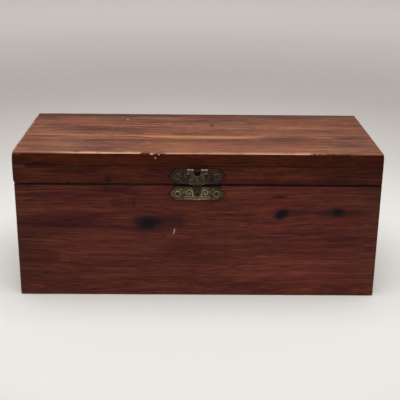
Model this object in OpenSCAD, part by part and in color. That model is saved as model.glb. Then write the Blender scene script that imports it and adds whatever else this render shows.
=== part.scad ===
// Hinged cedar keepsake box with a shallow lid and a small stamped brass clasp.
// Millimetres. Origin: centre of the case's footprint, on the surface that it stands on.
// +X right, +Y towards the hinges, +Z up. The lid is shut and the hasp hangs free in front of its stud.

/* [Box] */
// Outside width of the case, left to right
box_w = 216; // [190:0.5:260]
// Outside depth of the case, front to back
box_d = 95; // [80:0.5:130]
// Height with the lid shut
box_h = 90.5; // [80:0.5:120]
// Height of the lid, from the seam to the top
lid_h = 19.1; // [18.5:0.1:26]
// Thickness of the front, back and end boards and of the lid's rails
wall_t = 6.7; // [6.2:0.1:9]
// Thickness of the board glued on top of the lid
top_t = 7.7; // [5:0.1:8]
// Thickness of the board glued under the case
bottom_t = 7.7; // [5:0.1:9]
// Height of the gap between the case and the shut lid
seam_gap = 0.15; // [0.1:0.05:0.6]
// How far the lid stands past the case at its left end
lid_past_left = 0.5; // [0:0.1:1]
// Thickness of the lip that covers the end boards at each corner
corner_lip = 2.4; // [1.6:0.1:3.4]

/* [Hinges] */
// Distance from each hinge's middle to the end of the case
hinge_inset = 40; // [25:1:60]
// Length of a hinge along its barrel
hinge_l = 25.4; // [19:0.1:32]
// Height of one leaf, from the pin's centre to its far edge
leaf_h = 9; // [7.5:0.5:10]
// Thickness of a leaf
leaf_t = 0.8; // [0.6:0.1:0.9]
// Outer radius of the barrel
barrel_r = 1.6; // [1.5:0.05:1.8]
// Radius of the hinge pin
hinge_pin_r = 0.75; // [0.6:0.05:0.85]

/* [Clasp] */
// Place of the clasp's middle across the front
clasp_x = -0.8; // [-20:0.1:20]
// Half width of the plates, from the middle to a point
plate_half_w = 16.3; // [15.5:0.1:18]
// Thickness of the two plates
plate_t = 0.65; // [0.5:0.05:0.7]
// Height of the hasp pin above the seam
hasp_pin_up = 9.1; // [8.8:0.1:9.6]
// Radius of the hasp pin
hasp_pin_r = 0.55; // [0.5:0.05:0.6]
// Outer radius of the clasp's knuckles
knuckle_r = 1.15; // [1.1:0.05:1.25]
// Thickness of the hasp
hasp_t = 0.7; // [0.5:0.05:0.8]
// Angle by which the free hanging hasp stands off its snapped place
hasp_off = 4; // [3:0.5:6]
// Radius of the stud that the hasp snaps over
stud_r = 0.95; // [0.7:0.05:1]

/* [Nails] */
// Radius of a hinge nail's shank
hinge_nail_r = 0.55; // [0.4:0.05:0.6]
// Radius of a hinge nail's head
hinge_nail_head_r = 1.35; // [1.2:0.05:1.5]
// Radius of a clasp nail's shank
clasp_nail_r = 0.45; // [0.35:0.05:0.5]
// Radius of a clasp nail's head
clasp_nail_head_r = 0.95; // [0.8:0.05:1.1]
// Length of every nail's shank
nail_l = 5.2; // [4:0.1:5.6]

/* [Hidden] */

$fn = 48;

case_red = [0.40, 0.17, 0.13];
lid_brown = [0.47, 0.25, 0.17];
old_brass = [0.45, 0.38, 0.22];
pin_brass = [0.60, 0.50, 0.28];

seam_z = box_h - lid_h;            // top of the case
lid_z = seam_z + seam_gap;         // underside of the lid's rails
rail_top = box_h - top_t;          // glue line under the top board
front_y = -box_d / 2;
back_y = box_d / 2;
lid_x0 = -box_w / 2 - lid_past_left;
lid_x1 = box_w / 2;

fit = 0.05;                        // radial clearance of the two kinds of pin in their knuckles
pilot = 0.02;                      // radial clearance of a nail in its pilot hole
eps = 0.01;

// Hinges: the pin's centre stands just far enough back for the barrel to clear the wood
hinge_y = back_y + barrel_r + 0.05;
hinge_z = seam_z + seam_gap / 2;
hinge_xs = [-box_w / 2 + hinge_inset, box_w / 2 - hinge_inset];
knuckle_gap = 0.12;
hinge_knuckle_l = (hinge_l - 2 * knuckle_gap) / 3;
leaf_root = barrel_r + 0.25;       // the plain part of a leaf starts here, clear of the other leaf's barrel
hinge_nail_dx = hinge_l / 2 - 4.2;
hinge_nail_dz = 5.9;

// Clasp
pin_y = front_y - 1.65;
pin_z = seam_z + hasp_pin_up;
strike_mid = seam_z - 5.6;         // height of the strike plate's points and nails
clasp_mid = seam_z + 5.1;          // height of the clasp plate's points and nails
stud_z = seam_z - 5.3;
clasp_nail_dx = 11.5;
outer_knuckle = [4.1, 6.0];        // plate's knuckles, from and to, each side of the middle
inner_knuckle = [2.1, 3.95];       // hasp's knuckles
hasp_back = -plate_t - 0.22;       // back face of the snapped hasp, from the front of the case

// ---------------------------------------------------------------- boards

// A board given by its low corner and its high corner
module board(lo, hi) {
    translate(lo) cube(hi - lo);
}

// A full-width wall between two heights whose ends are rabbeted to take the end boards.
// It is drawn for the front; the back one is its mirror image.
module lapped_wall(x0, x1, z0, z1) {
    difference() {
        board([x0, front_y, z0], [x1, front_y + wall_t, z1]);
        board([x0 - 1, front_y + corner_lip, z0 - 1], [x0 + wall_t, front_y + wall_t + 1, z1 + 1]);
        board([x1 - wall_t, front_y + corner_lip, z0 - 1], [x1 + 1, front_y + wall_t + 1, z1 + 1]);
    }
}

// An end wall that reaches into the rabbets of the front and back walls
module end_wall(x0, z0, z1) {
    board([x0, front_y + corner_lip, z0], [x0 + wall_t, back_y - corner_lip, z1]);
}

// ---------------------------------------------------------------- nails and pins

// A domed nail: its head's underside is at y = 0 and its shank runs along +Y
module nail(shank_r, head_r, head_h) {
    dome_r = (head_r * head_r + head_h * head_h) / (2 * head_h);
    a = asin(head_r / dome_r);
    rotate([-90, 0, 0])
        rotate_extrude()
            polygon(concat(
                [[0, nail_l], [0, -head_h]],
                [for (i = [1:6]) [dome_r * sin(a * i / 6), -head_h + dome_r - dome_r * cos(a * i / 6)]],
                [[shank_r, 0], [shank_r, nail_l - 2.2 * shank_r], [0.12 * shank_r, nail_l]]));
}

// The hole that a nail sits in, from a little above the head's underside
module nail_hole(shank_r, above = 1) {
    translate([0, -above, 0]) rotate([-90, 0, 0]) cylinder(r = shank_r + pilot, h = nail_l + 0.1 + above);
}

// A pin along X with slightly domed ends
module cross_pin(r, l) {
    d = 0.25 * r;
    rotate([0, 90, 0])
        rotate_extrude()
            polygon([[0, -l / 2], [0.75 * r, -l / 2], [r, -l / 2 + d], [r, l / 2 - d], [0.75 * r, l / 2], [0, l / 2]]);
}

// A rod along X between two places
module rod_x(r, x0, x1) {
    translate([x0, 0, 0]) rotate([0, 90, 0]) cylinder(r = r, h = x1 - x0);
}

// ---------------------------------------------------------------- hinges

// up = 1 for the lid's leaf with its two outer knuckles, -1 for the case's leaf with the middle one.
// Drawn about the pin's centre.
module hinge_leaf(up) {
    y0 = back_y - hinge_y;
    spans = up > 0
        ? [[-hinge_l / 2, -hinge_l / 2 + hinge_knuckle_l], [hinge_l / 2 - hinge_knuckle_l, hinge_l / 2]]
        : [[-hinge_knuckle_l / 2, hinge_knuckle_l / 2]];
    z0 = up > 0 ? leaf_root : -leaf_h;
    z1 = up > 0 ? leaf_h : -leaf_root;
    difference() {
        union() {
            // plain leaf with two clipped far corners
            translate([0, y0 + leaf_t, 0]) rotate([90, 0, 0]) linear_extrude(leaf_t)
                polygon([
                    [-hinge_l / 2, up * leaf_root], [hinge_l / 2, up * leaf_root],
                    [hinge_l / 2, up * (leaf_h - 0.8)], [hinge_l / 2 - 0.8, up * leaf_h],
                    [-hinge_l / 2 + 0.8, up * leaf_h], [-hinge_l / 2, up * (leaf_h - 0.8)]]);
            for (s = spans) {
                rod_x(barrel_r, s[0], s[1]);
                // sheet that rolls into the knuckle
                board([s[0], y0, up > 0 ? 0 : -leaf_root - eps], [s[1], y0 + leaf_t, up > 0 ? leaf_root + eps : 0]);
            }
        }
        for (s = spans) rod_x(hinge_pin_r + fit, s[0] - 1, s[1] + 1);
        for (x = [-hinge_nail_dx, hinge_nail_dx])
            translate([x, y0 + leaf_t + 1, up * hinge_nail_dz]) rotate([90, 0, 0])
                cylinder(r = hinge_nail_r + pilot, h = leaf_t + 2);
    }
}

// Moves its children to each hinge nail's place under the head, with the shank pointing into the wood
module at_hinge_nails(up) {
    for (hx = hinge_xs, x = [-hinge_nail_dx, hinge_nail_dx])
        translate([hx + x, back_y + leaf_t, hinge_z + up * hinge_nail_dz]) rotate([0, 0, 180]) children();
}

// ---------------------------------------------------------------- clasp

// Outline of one plate about the point between its two nails: an elongated hexagon with scalloped
// shoulders. out is its height on the side away from the seam and near is that towards the seam.
module plate_outline(out, near) {
    difference() {
        polygon([
            [-plate_half_w, 0], [-plate_half_w + 0.5, -0.9], [-12.3, -near], [12.3, -near],
            [plate_half_w - 0.5, -0.9], [plate_half_w, 0], [plate_half_w - 0.5, 0.9],
            [12.4, out], [-12.4, out], [-plate_half_w + 0.5, 0.9]]);
        // scallops
        for (s = [-1, 1]) {
            translate([s * 14.75, out * 0.62]) circle(r = 0.75, $fn = 24);
            translate([s * 14.75, -near * 0.62]) circle(r = 0.75, $fn = 24);
        }
    }
}

// Stands a 2D outline up against the front of the case: its Y becomes height, its thickness comes forward
module on_front(x, z, t) {
    translate([x, front_y, z]) rotate([90, 0, 0]) linear_extrude(t) children();
}

// Moves its children to each nail of a plate whose points are at height z
module at_clasp_nails(z) {
    for (s = [-1, 1]) translate([clasp_x + s * clasp_nail_dx, front_y - plate_t, z]) children();
}

// Raised ring around a plate's nail hole
module nail_ring(z) {
    for (s = [-1, 1])
        translate([clasp_x + s * clasp_nail_dx, front_y - plate_t + eps, z]) rotate([90, 0, 0])
            difference() {
                cylinder(r = 1.9, h = 0.3 + eps);
                translate([0, 0, -1]) cylinder(r = 1.3, h = 3);
            }
}

// Side view of the sheet that rises from the plate into a knuckle, drawn as (y, z) about the pin
module knuckle_root(x0, x1, side) {
    translate([x0, 0, 0]) rotate([90, 0, 90]) linear_extrude(x1 - x0) polygon(side);
}

// ---------------------------------------------------------------- case pieces

module bottom_board() {
    color(case_red) board([-box_w / 2, front_y, 0], [box_w / 2, back_y, bottom_t]);
}

module front_board() {
    color(case_red) difference() {
        lapped_wall(-box_w / 2, box_w / 2, bottom_t, seam_z);
        at_clasp_nails(strike_mid) nail_hole(clasp_nail_r);
    }
}

module back_board() {
    color(case_red) difference() {
        mirror([0, 1, 0]) lapped_wall(-box_w / 2, box_w / 2, bottom_t, seam_z);
        at_hinge_nails(-1) nail_hole(hinge_nail_r);
    }
}

module left_board() {
    color(case_red) end_wall(-box_w / 2, bottom_t, seam_z);
}

module right_board() {
    color(case_red) end_wall(box_w / 2 - wall_t, bottom_t, seam_z);
}

module strike_plate() {
    color(old_brass) difference() {
        union() {
            on_front(clasp_x, strike_mid, plate_t) mirror([0, 1]) plate_outline(strike_mid - (seam_z - 9.6), seam_z - 0.9 - strike_mid);
            nail_ring(strike_mid);
            // stud that the hasp's hole drops over
            translate([clasp_x, front_y - plate_t + eps, stud_z]) rotate([90, 0, 0])
                cylinder(r = stud_r, h = 0.85 + eps);
        }
        at_clasp_nails(strike_mid) nail_hole(clasp_nail_r);
    }
}

module strike_nails() {
    color(pin_brass) at_clasp_nails(strike_mid) nail(clasp_nail_r, clasp_nail_head_r, 0.35);
}

module left_hinge_case_leaf() {
    color(old_brass) translate([hinge_xs[0], hinge_y, hinge_z]) hinge_leaf(-1);
}

module right_hinge_case_leaf() {
    color(old_brass) translate([hinge_xs[1], hinge_y, hinge_z]) hinge_leaf(-1);
}

module left_hinge_pin() {
    color(pin_brass) translate([hinge_xs[0], hinge_y, hinge_z]) cross_pin(hinge_pin_r, hinge_l);
}

module right_hinge_pin() {
    color(pin_brass) translate([hinge_xs[1], hinge_y, hinge_z]) cross_pin(hinge_pin_r, hinge_l);
}

module case_hinge_nails() {
    color(pin_brass) at_hinge_nails(-1) nail(hinge_nail_r, hinge_nail_head_r, 0.5);
}

// ---------------------------------------------------------------- lid pieces

module lid_top_board() {
    color(lid_brown) board([lid_x0, front_y, rail_top], [lid_x1, back_y, box_h]);
}

module lid_front_rail() {
    color(lid_brown) difference() {
        lapped_wall(lid_x0, lid_x1, lid_z, rail_top);
        at_clasp_nails(clasp_mid) nail_hole(clasp_nail_r);
    }
}

module lid_back_rail() {
    color(lid_brown) difference() {
        mirror([0, 1, 0]) lapped_wall(lid_x0, lid_x1, lid_z, rail_top);
        at_hinge_nails(1) nail_hole(hinge_nail_r);
    }
}

module lid_left_rail() {
    color(lid_brown) end_wall(lid_x0, lid_z, rail_top);
}

module lid_right_rail() {
    color(lid_brown) end_wall(lid_x1 - wall_t, lid_z, rail_top);
}

module clasp_plate() {
    root_top = pin_z - clasp_mid;
    color(old_brass) difference() {
        union() {
            on_front(clasp_x, clasp_mid, plate_t) difference() {
                plate_outline(4.6, clasp_mid - seam_z - 0.35);
                // dip between the knuckles
                translate([0, root_top + 0.4]) scale([1, 1.3]) circle(r = outer_knuckle[0] + 0.15);
            }
            nail_ring(clasp_mid);
            for (s = [-1, 1])
                translate([clasp_x + s * (outer_knuckle[0] + outer_knuckle[1]) / 2, pin_y, pin_z]) {
                    w = (outer_knuckle[1] - outer_knuckle[0]) / 2;
                    rod_x(knuckle_r, -w, w);
                    knuckle_root(-w, w, [
                        [front_y - pin_y, -2.6], [front_y - pin_y, 0.5], [front_y - pin_y - 0.55, 0.85], [0, knuckle_r - 0.05],
                        [0, 0], [-0.4, -1.0], [front_y - pin_y - plate_t, -2.6]]);
                }
        }
        translate([clasp_x, pin_y, pin_z]) rod_x(hasp_pin_r + fit, -9, 9);
        at_clasp_nails(clasp_mid) nail_hole(clasp_nail_r);
    }
}

module clasp_nails() {
    color(pin_brass) at_clasp_nails(clasp_mid) nail(clasp_nail_r, clasp_nail_head_r, 0.35);
}

module clasp_pin() {
    color(pin_brass) translate([clasp_x, pin_y, pin_z]) cross_pin(hasp_pin_r, 2 * outer_knuckle[1]);
}

module left_hinge_lid_leaf() {
    color(old_brass) translate([hinge_xs[0], hinge_y, hinge_z]) hinge_leaf(1);
}

module right_hinge_lid_leaf() {
    color(old_brass) translate([hinge_xs[1], hinge_y, hinge_z]) hinge_leaf(1);
}

module lid_hinge_nails() {
    color(pin_brass) at_hinge_nails(1) nail(hinge_nail_r, hinge_nail_head_r, 0.5);
}

// ---------------------------------------------------------------- hasp

// Front view of the hasp about its pin: a shield with a dip at the top and a tapered tongue below
module hasp_outline() {
    difference() {
        union() {
            polygon([
                [-3.95, -0.6], [-3.95, -3.2], [-4.9, -5.2], [-5.0, -7.6], [-4.3, -8.5],
                [-2.7, -8.9], [-2.3, -12.0], [-1.9, -14.9], [-1.1, -15.8],
                [1.1, -15.8], [1.9, -14.9], [2.3, -12.0], [2.7, -8.9],
                [4.3, -8.5], [5.0, -7.6], [4.9, -5.2], [3.95, -3.2], [3.95, -0.6]]);
        }
        translate([0, -0.4]) scale([1, 1.35]) circle(r = inner_knuckle[0]);
        translate([0, stud_z - pin_z]) circle(r = stud_r + 0.3);
    }
}

module hasp() {
    y_leaf = front_y + hasp_back - pin_y;   // back face of the leaf, from the pin
    color(old_brass)
        translate([clasp_x, pin_y, pin_z]) rotate([-hasp_off, 0, 0])
            difference() {
                union() {
                    translate([0, y_leaf, 0]) rotate([90, 0, 0]) linear_extrude(hasp_t) hasp_outline();
                    for (s = [-1, 1])
                        translate([s * (inner_knuckle[0] + inner_knuckle[1]) / 2, 0, 0]) {
                            w = (inner_knuckle[1] - inner_knuckle[0]) / 2;
                            rod_x(knuckle_r, -w, w);
                        }
                }
                rod_x(hasp_pin_r + fit, -9, 9);
            }
}

// ----------------------------------------------------------------

bottom_board();
front_board();
back_board();
left_board();
right_board();
strike_plate();
strike_nails();
left_hinge_case_leaf();
right_hinge_case_leaf();
left_hinge_pin();
right_hinge_pin();
case_hinge_nails();
lid_top_board();
lid_front_rail();
lid_back_rail();
lid_left_rail();
lid_right_rail();
clasp_plate();
clasp_nails();
clasp_pin();
left_hinge_lid_leaf();
right_hinge_lid_leaf();
lid_hinge_nails();
hasp();
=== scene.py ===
import math

import bmesh
import bpy
import numpy as np
from mathutils import Matrix, Vector, noise


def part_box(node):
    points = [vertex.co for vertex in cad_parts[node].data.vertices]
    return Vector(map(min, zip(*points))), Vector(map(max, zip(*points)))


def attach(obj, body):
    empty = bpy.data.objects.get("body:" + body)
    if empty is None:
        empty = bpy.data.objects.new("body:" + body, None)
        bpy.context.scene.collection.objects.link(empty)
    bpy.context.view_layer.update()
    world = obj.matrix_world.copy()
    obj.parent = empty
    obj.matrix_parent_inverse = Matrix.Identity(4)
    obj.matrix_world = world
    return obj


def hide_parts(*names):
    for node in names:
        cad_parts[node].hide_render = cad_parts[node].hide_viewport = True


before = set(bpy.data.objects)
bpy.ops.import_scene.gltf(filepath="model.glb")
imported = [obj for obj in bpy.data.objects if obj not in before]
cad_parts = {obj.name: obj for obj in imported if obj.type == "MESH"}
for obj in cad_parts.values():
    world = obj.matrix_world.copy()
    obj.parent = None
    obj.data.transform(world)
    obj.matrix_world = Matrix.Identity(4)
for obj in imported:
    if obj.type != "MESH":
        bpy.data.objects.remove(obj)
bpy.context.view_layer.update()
scene = bpy.context.scene


def mm_box(node):
    lo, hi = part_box(node)
    return np.array(lo) * 1000.0, np.array(hi) * 1000.0


CASE_LO, CASE_HI = mm_box("bottom_board")
BW, BD = CASE_HI[0] - CASE_LO[0], CASE_HI[1] - CASE_LO[1]
FRONT, BACK = CASE_LO[1], CASE_HI[1]
TOP_LO, TOP_HI = mm_box("lid_top_board")
H = TOP_HI[2]
RAIL_TOP = TOP_LO[2]
SEAM = mm_box("front_board")[1][2]
LID_Z = mm_box("lid_front_rail")[0][2]
WALL = mm_box("left_board")[1][0] - CASE_LO[0]
LIP = mm_box("left_board")[0][1] - FRONT
BOTTOM = CASE_HI[2]

# ------------------------------------------------------------------ camera
PITCH, YAW, ROLL, FPX = 0.3428, 0.0147, -0.0115, 836.8
cam_at = Vector((-5.887, -464.853 + FRONT, 227.873))


def camera():
    cp, sp, cy, sy = math.cos(PITCH), math.sin(PITCH), math.cos(YAW), math.sin(YAW)
    cr, sr = math.cos(ROLL), math.sin(ROLL)
    f = Vector((sy * cp, cy * cp, -sp))
    r = Vector((cy, -sy, 0.0))
    d = f.cross(r)
    right, down = cr * r + sr * d, -sr * r + cr * d
    data = bpy.data.cameras.new("camera")
    data.sensor_width = 36.0
    data.lens = 36.0 * FPX / 400.0
    data.clip_start, data.clip_end = 0.01, 20.0
    obj = bpy.data.objects.new("camera", data)
    m = Matrix((right, -down, -f)).transposed().to_4x4()
    m.translation = cam_at / 1000.0
    obj.matrix_world = m
    scene.collection.objects.link(obj)
    scene.camera = obj


camera()


# ------------------------------------------------------------------ node graphs
class S:
    """A float or colour socket of a material's graph, with arithmetic."""

    def __init__(self, g, socket):
        self.g, self.s = g, socket

    def __add__(self, o):
        return self.g.math("ADD", self, o)

    __radd__ = __add__

    def __sub__(self, o):
        return self.g.math("SUBTRACT", self, o)

    def __rsub__(self, o):
        return self.g.math("SUBTRACT", o, self)

    def __mul__(self, o):
        return self.g.math("MULTIPLY", self, o)

    __rmul__ = __mul__

    def __truediv__(self, o):
        return self.g.math("DIVIDE", self, o)

    def __rtruediv__(self, o):
        return self.g.math("DIVIDE", o, self)

    def __neg__(self):
        return self.g.math("MULTIPLY", self, -1.0)


class Graph:
    def __init__(self, name):
        self.mat = bpy.data.materials.new(name)
        self.mat.use_nodes = True
        self.nt = self.mat.node_tree
        self.nt.nodes.clear()
        out = self.nt.nodes.new("ShaderNodeOutputMaterial")
        self.bsdf = self.nt.nodes.new("ShaderNodeBsdfPrincipled")
        self.nt.links.new(self.bsdf.outputs[0], out.inputs["Surface"])
        coords = self.nt.nodes.new("ShaderNodeTexCoord")
        sep = self.nt.nodes.new("ShaderNodeSeparateXYZ")
        self.nt.links.new(coords.outputs["Object"], sep.inputs[0])
        self.x, self.y, self.z = (S(self, sep.outputs[i]) * 1000.0 for i in range(3))

    def put(self, socket, value):
        if isinstance(value, S):
            self.nt.links.new(value.s, socket)
        elif value is not None:
            if socket.type in ("RGBA",) and not hasattr(value, "__len__"):
                value = (value, value, value, 1.0)
            elif socket.type == "RGBA" and len(value) == 3:
                value = (*value, 1.0)
            socket.default_value = value

    def math(self, op, a, b=None, c=None, clamp=False):
        n = self.nt.nodes.new("ShaderNodeMath")
        n.operation, n.use_clamp = op, clamp
        for i, v in enumerate((a, b, c)):
            self.put(n.inputs[i], v)
        return S(self, n.outputs[0])

    def min(self, a, b):
        return self.math("MINIMUM", a, b)

    def max(self, a, b):
        return self.math("MAXIMUM", a, b)

    def abs(self, a):
        return self.math("ABSOLUTE", a)

    def sqrt(self, a):
        return self.math("SQRT", a)

    def pow(self, a, b):
        return self.math("POWER", a, b)

    def clamp(self, a):
        return self.math("ADD", a, 0.0, clamp=True)

    def vec(self, x, y, z):
        n = self.nt.nodes.new("ShaderNodeCombineXYZ")
        for i, v in enumerate((x, y, z)):
            self.put(n.inputs[i], v)
        return S(self, n.outputs[0])

    def noise(self, x, y, z=0.0, detail=2.0, rough=0.5, distortion=0.0, lac=2.0):
        n = self.nt.nodes.new("ShaderNodeTexNoise")
        n.noise_dimensions = "3D"
        self.put(n.inputs["Vector"], self.vec(x, y, z))
        n.inputs["Scale"].default_value = 1.0
        n.inputs["Detail"].default_value = detail
        n.inputs["Roughness"].default_value = rough
        n.inputs["Lacunarity"].default_value = lac
        n.inputs["Distortion"].default_value = distortion
        return S(self, n.outputs["Fac"])

    def white(self, x):
        n = self.nt.nodes.new("ShaderNodeTexWhiteNoise")
        n.noise_dimensions = "1D"
        self.put(n.inputs["W"], x)
        return S(self, n.outputs["Value"])

    def voronoi(self, x, y, z, feature="F1", rand=1.0):
        n = self.nt.nodes.new("ShaderNodeTexVoronoi")
        n.voronoi_dimensions, n.feature = "3D", feature
        self.put(n.inputs["Vector"], self.vec(x, y, z))
        n.inputs["Scale"].default_value = 1.0
        n.inputs["Randomness"].default_value = rand
        return S(self, n.outputs["Distance"])

    def step(self, a, lo, hi):
        """0 below lo, 1 above hi, smooth between. lo may be above hi, which turns it round."""
        n = self.nt.nodes.new("ShaderNodeMapRange")
        n.interpolation_type = "SMOOTHSTEP"
        flip = lo > hi
        if flip:
            lo, hi = hi, lo
        for name, v in (("Value", a), ("From Min", lo), ("From Max", hi), ("To Min", 1.0 if flip else 0.0), ("To Max", 0.0 if flip else 1.0)):
            self.put(n.inputs[name], v)
        return S(self, n.outputs["Result"])

    def curve(self, a, points):
        """A smooth curve through (x, y) points, for x between the first and the last."""
        x0, x1 = points[0][0], points[-1][0]
        y0, y1 = min(p[1] for p in points), max(p[1] for p in points)
        n = self.nt.nodes.new("ShaderNodeFloatCurve")
        c = n.mapping.curves[0]
        norm = [((x - x0) / (x1 - x0), (y - y0) / max(1e-9, y1 - y0)) for x, y in points]
        c.points[0].location, c.points[1].location = norm[0], norm[-1]
        for p in norm[1:-1]:
            c.points.new(*p)
        n.mapping.update()
        self.put(n.inputs["Value"], self.clamp((a - x0) / (x1 - x0)) if isinstance(a, S) else a)
        return S(self, n.outputs[0]) * (y1 - y0) + y0

    def mix(self, f, a, b):
        """Colour b over colour a by f."""
        n = self.nt.nodes.new("ShaderNodeMix")
        n.data_type, n.clamp_factor = "RGBA", True
        self.put(n.inputs[0], f)
        self.put(n.inputs[6], a)
        self.put(n.inputs[7], b)
        return S(self, n.outputs[2])

    def multiply(self, f, a, colour):
        """Colour a, multiplied by the fixed colour as far as f says"""
        n = self.nt.nodes.new("ShaderNodeMix")
        n.data_type, n.blend_type, n.clamp_factor = "RGBA", "MULTIPLY", True
        self.put(n.inputs[0], f)
        self.put(n.inputs[6], a)
        self.put(n.inputs[7], colour)
        return S(self, n.outputs[2])

    def tint(self, colour, factor):
        """Colour times a float."""
        n = self.nt.nodes.new("ShaderNodeVectorMath")
        n.operation = "SCALE"
        self.nt.links.new(colour.s, n.inputs[0])
        self.put(n.inputs["Scale"], factor)
        return S(self, n.outputs[0])

    def ramp(self, f, stops):
        n = self.nt.nodes.new("ShaderNodeValToRGB")
        e = n.color_ramp.elements
        e[0].position, e[0].color = stops[0][0], (*stops[0][1], 1.0)
        e[1].position, e[1].color = stops[-1][0], (*stops[-1][1], 1.0)
        for pos, col in stops[1:-1]:
            k = e.new(pos)
            k.color = (*col, 1.0)
        self.put(n.inputs[0], f)
        return S(self, n.outputs[0])

    def bump(self, height, distance, strength=1.0):
        """height in millimetres"""
        n = self.nt.nodes.new("ShaderNodeBump")
        n.inputs["Strength"].default_value = strength
        n.inputs["Distance"].default_value = distance * 0.001
        self.put(n.inputs["Height"], height)
        self.nt.links.new(n.outputs[0], self.bsdf.inputs["Normal"])

    def spot(self, u, v, cu, cv, ru, rv, soft=0.5):
        """1 in the middle of an ellipse, 0 outside it"""
        a, b = (u - cu) / ru, (v - cv) / rv
        r = self.sqrt(a * a + b * b)
        return self.step(r, 1.0, 1.0 - soft)


def srgb(r, g, b):
    """sRGB 0..255 to linear"""
    return tuple(((c / 255 + 0.055) / 1.055) ** 2.4 if c > 10 else c / 255 / 12.92 for c in (r, g, b))


# ------------------------------------------------------------------ boards
def lines(lo, hi, r0, r1, step, cuts=()):
    """Grid lines from lo to hi: close together inside r0 of lo and r1 of hi, and at most step apart between."""

    def edge(r):
        k = [0.0, 0.12, 0.27, 0.45, 0.68, 1.0] if r > 0.35 else [0.0, 0.35, 1.0]
        return [r * v for v in k]

    a, b = edge(r0), edge(r1)
    pts = [lo + v for v in a] + [hi - v for v in b] + list(cuts)
    pts = sorted(set(round(v, 5) for v in pts))
    out = [pts[0]]
    for p in pts[1:]:
        if p - out[-1] < 1e-4:
            continue
        gap = p - out[-1]
        if gap > step:
            start, n = out[-1], math.ceil(gap / step)
            for i in range(1, n):
                out.append(start + gap * i / n)
        out.append(p)
    return np.array(out)


def block(xs, ys, zs, keep=None):
    """Vertices and outward quads of the solid cells between grid lines. keep(cx, cy, cz) says which cells are solid."""
    nx, ny, nz = len(xs) - 1, len(ys) - 1, len(zs) - 1
    c = np.meshgrid((xs[1:] + xs[:-1]) / 2, (ys[1:] + ys[:-1]) / 2, (zs[1:] + zs[:-1]) / 2, indexing="ij")
    solid = np.ones((nx, ny, nz), bool) if keep is None else keep(*c)
    pad = np.zeros((nx + 2, ny + 2, nz + 2), bool)
    pad[1:-1, 1:-1, 1:-1] = solid

    def vid(i, j, k):
        return (i * (ny + 1) + j) * (nz + 1) + k

    quads = []
    for axis in range(3):
        for side in (0, 1):
            shift = [slice(1, -1)] * 3
            shift[axis] = slice(2, None) if side else slice(0, -2)
            i, j, k = np.nonzero(solid & ~pad[tuple(shift)])
            if axis == 0:
                a = i + side
                q = [vid(a, j, k), vid(a, j + 1, k), vid(a, j + 1, k + 1), vid(a, j, k + 1)]
            elif axis == 1:
                a = j + side
                q = [vid(i, a, k), vid(i, a, k + 1), vid(i + 1, a, k + 1), vid(i + 1, a, k)]
            else:
                a = k + side
                q = [vid(i, j, a), vid(i + 1, j, a), vid(i + 1, j + 1, a), vid(i, j + 1, a)]
            q = np.stack(q, 1)
            quads.append(q if side else q[:, ::-1])
    quads = np.concatenate(quads)
    used, inverse = np.unique(quads, return_inverse=True)
    k = used % (nz + 1)
    j = used // (nz + 1) % (ny + 1)
    i = used // ((nz + 1) * (ny + 1))
    return np.stack([xs[i], ys[j], zs[k]], 1), inverse.reshape(quads.shape)


def wobble(p, size, seed):
    """Smooth noise from -1 to 1 at each row of p"""
    return np.array([noise.noise(Vector((a[0] / size, a[1] / size, a[2] / size)) + Vector((seed, seed * 1.7, -seed))) for a in p])


def mesh_object(name, verts_mm, faces, body, replaces=(), material=None, sharp=38.0):
    me = bpy.data.meshes.new(name)
    me.from_pydata((np.asarray(verts_mm) / 1000.0).tolist(), [], [list(map(int, f)) for f in faces])
    me.validate()
    me.update()
    me.shade_smooth()
    if sharp:
        me.set_sharp_from_angle(angle=math.radians(sharp))
    obj = bpy.data.objects.new(name, me)
    scene.collection.objects.link(obj)
    if material:
        me.materials.append(material)
    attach(obj, body)
    if replaces:
        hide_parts(*replaces)
    return obj


def round_edges(p, lo, hi, upright, top, bottom):
    """Rounds a box's upright edges and then its top and bottom edges, each by a radius of its own at each point."""
    p = p.copy()
    rv = np.maximum(np.broadcast_to(upright, len(p)), 0.01)[:, None]
    q = np.clip(p[:, :2], lo[:2] + rv, hi[:2] - rv)
    d = p[:, :2] - q
    n = np.linalg.norm(d, axis=1, keepdims=True)
    scale = np.where(n > 1e-9, np.abs(d).max(1, keepdims=True) / np.maximum(n, 1e-9), 1.0)
    p[:, :2] = q + d * scale
    # inward distance to the rounded outline, and the way out of it
    d = p[:, :2] - q
    n = np.linalg.norm(d, axis=1, keepdims=True)
    to_side = np.minimum(p[:, :2] - lo[:2], hi[:2] - p[:, :2])
    flat_axis = np.argmin(to_side, axis=1)
    out = np.zeros((len(p), 2))
    sign = np.where(p[:, :2] - lo[:2] < hi[:2] - p[:, :2], -1.0, 1.0)
    out[np.arange(len(p)), flat_axis] = sign[np.arange(len(p)), flat_axis]
    corner = (np.abs(d) > 1e-9).all(1)
    out[corner] = d[corner] / n[corner]
    depth = np.where(corner, (rv - n)[:, 0], to_side.min(1))
    for radius, gap, z_in in ((top, hi[2] - p[:, 2], -1.0), (bottom, p[:, 2] - lo[2], 1.0)):
        rr = np.maximum(np.broadcast_to(radius, len(p)), 0.01)
        u, w = np.clip(rr - depth, 0, None), np.clip(rr - gap, 0, None)
        m = np.sqrt(u * u + w * w)
        k = np.where(m > 1e-9, np.maximum(u, w) / np.maximum(m, 1e-9), 1.0)
        p[:, :2] -= out * (u * (1 - k))[:, None]
        p[:, 2] += z_in * w * (1 - k)
    return p


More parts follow.
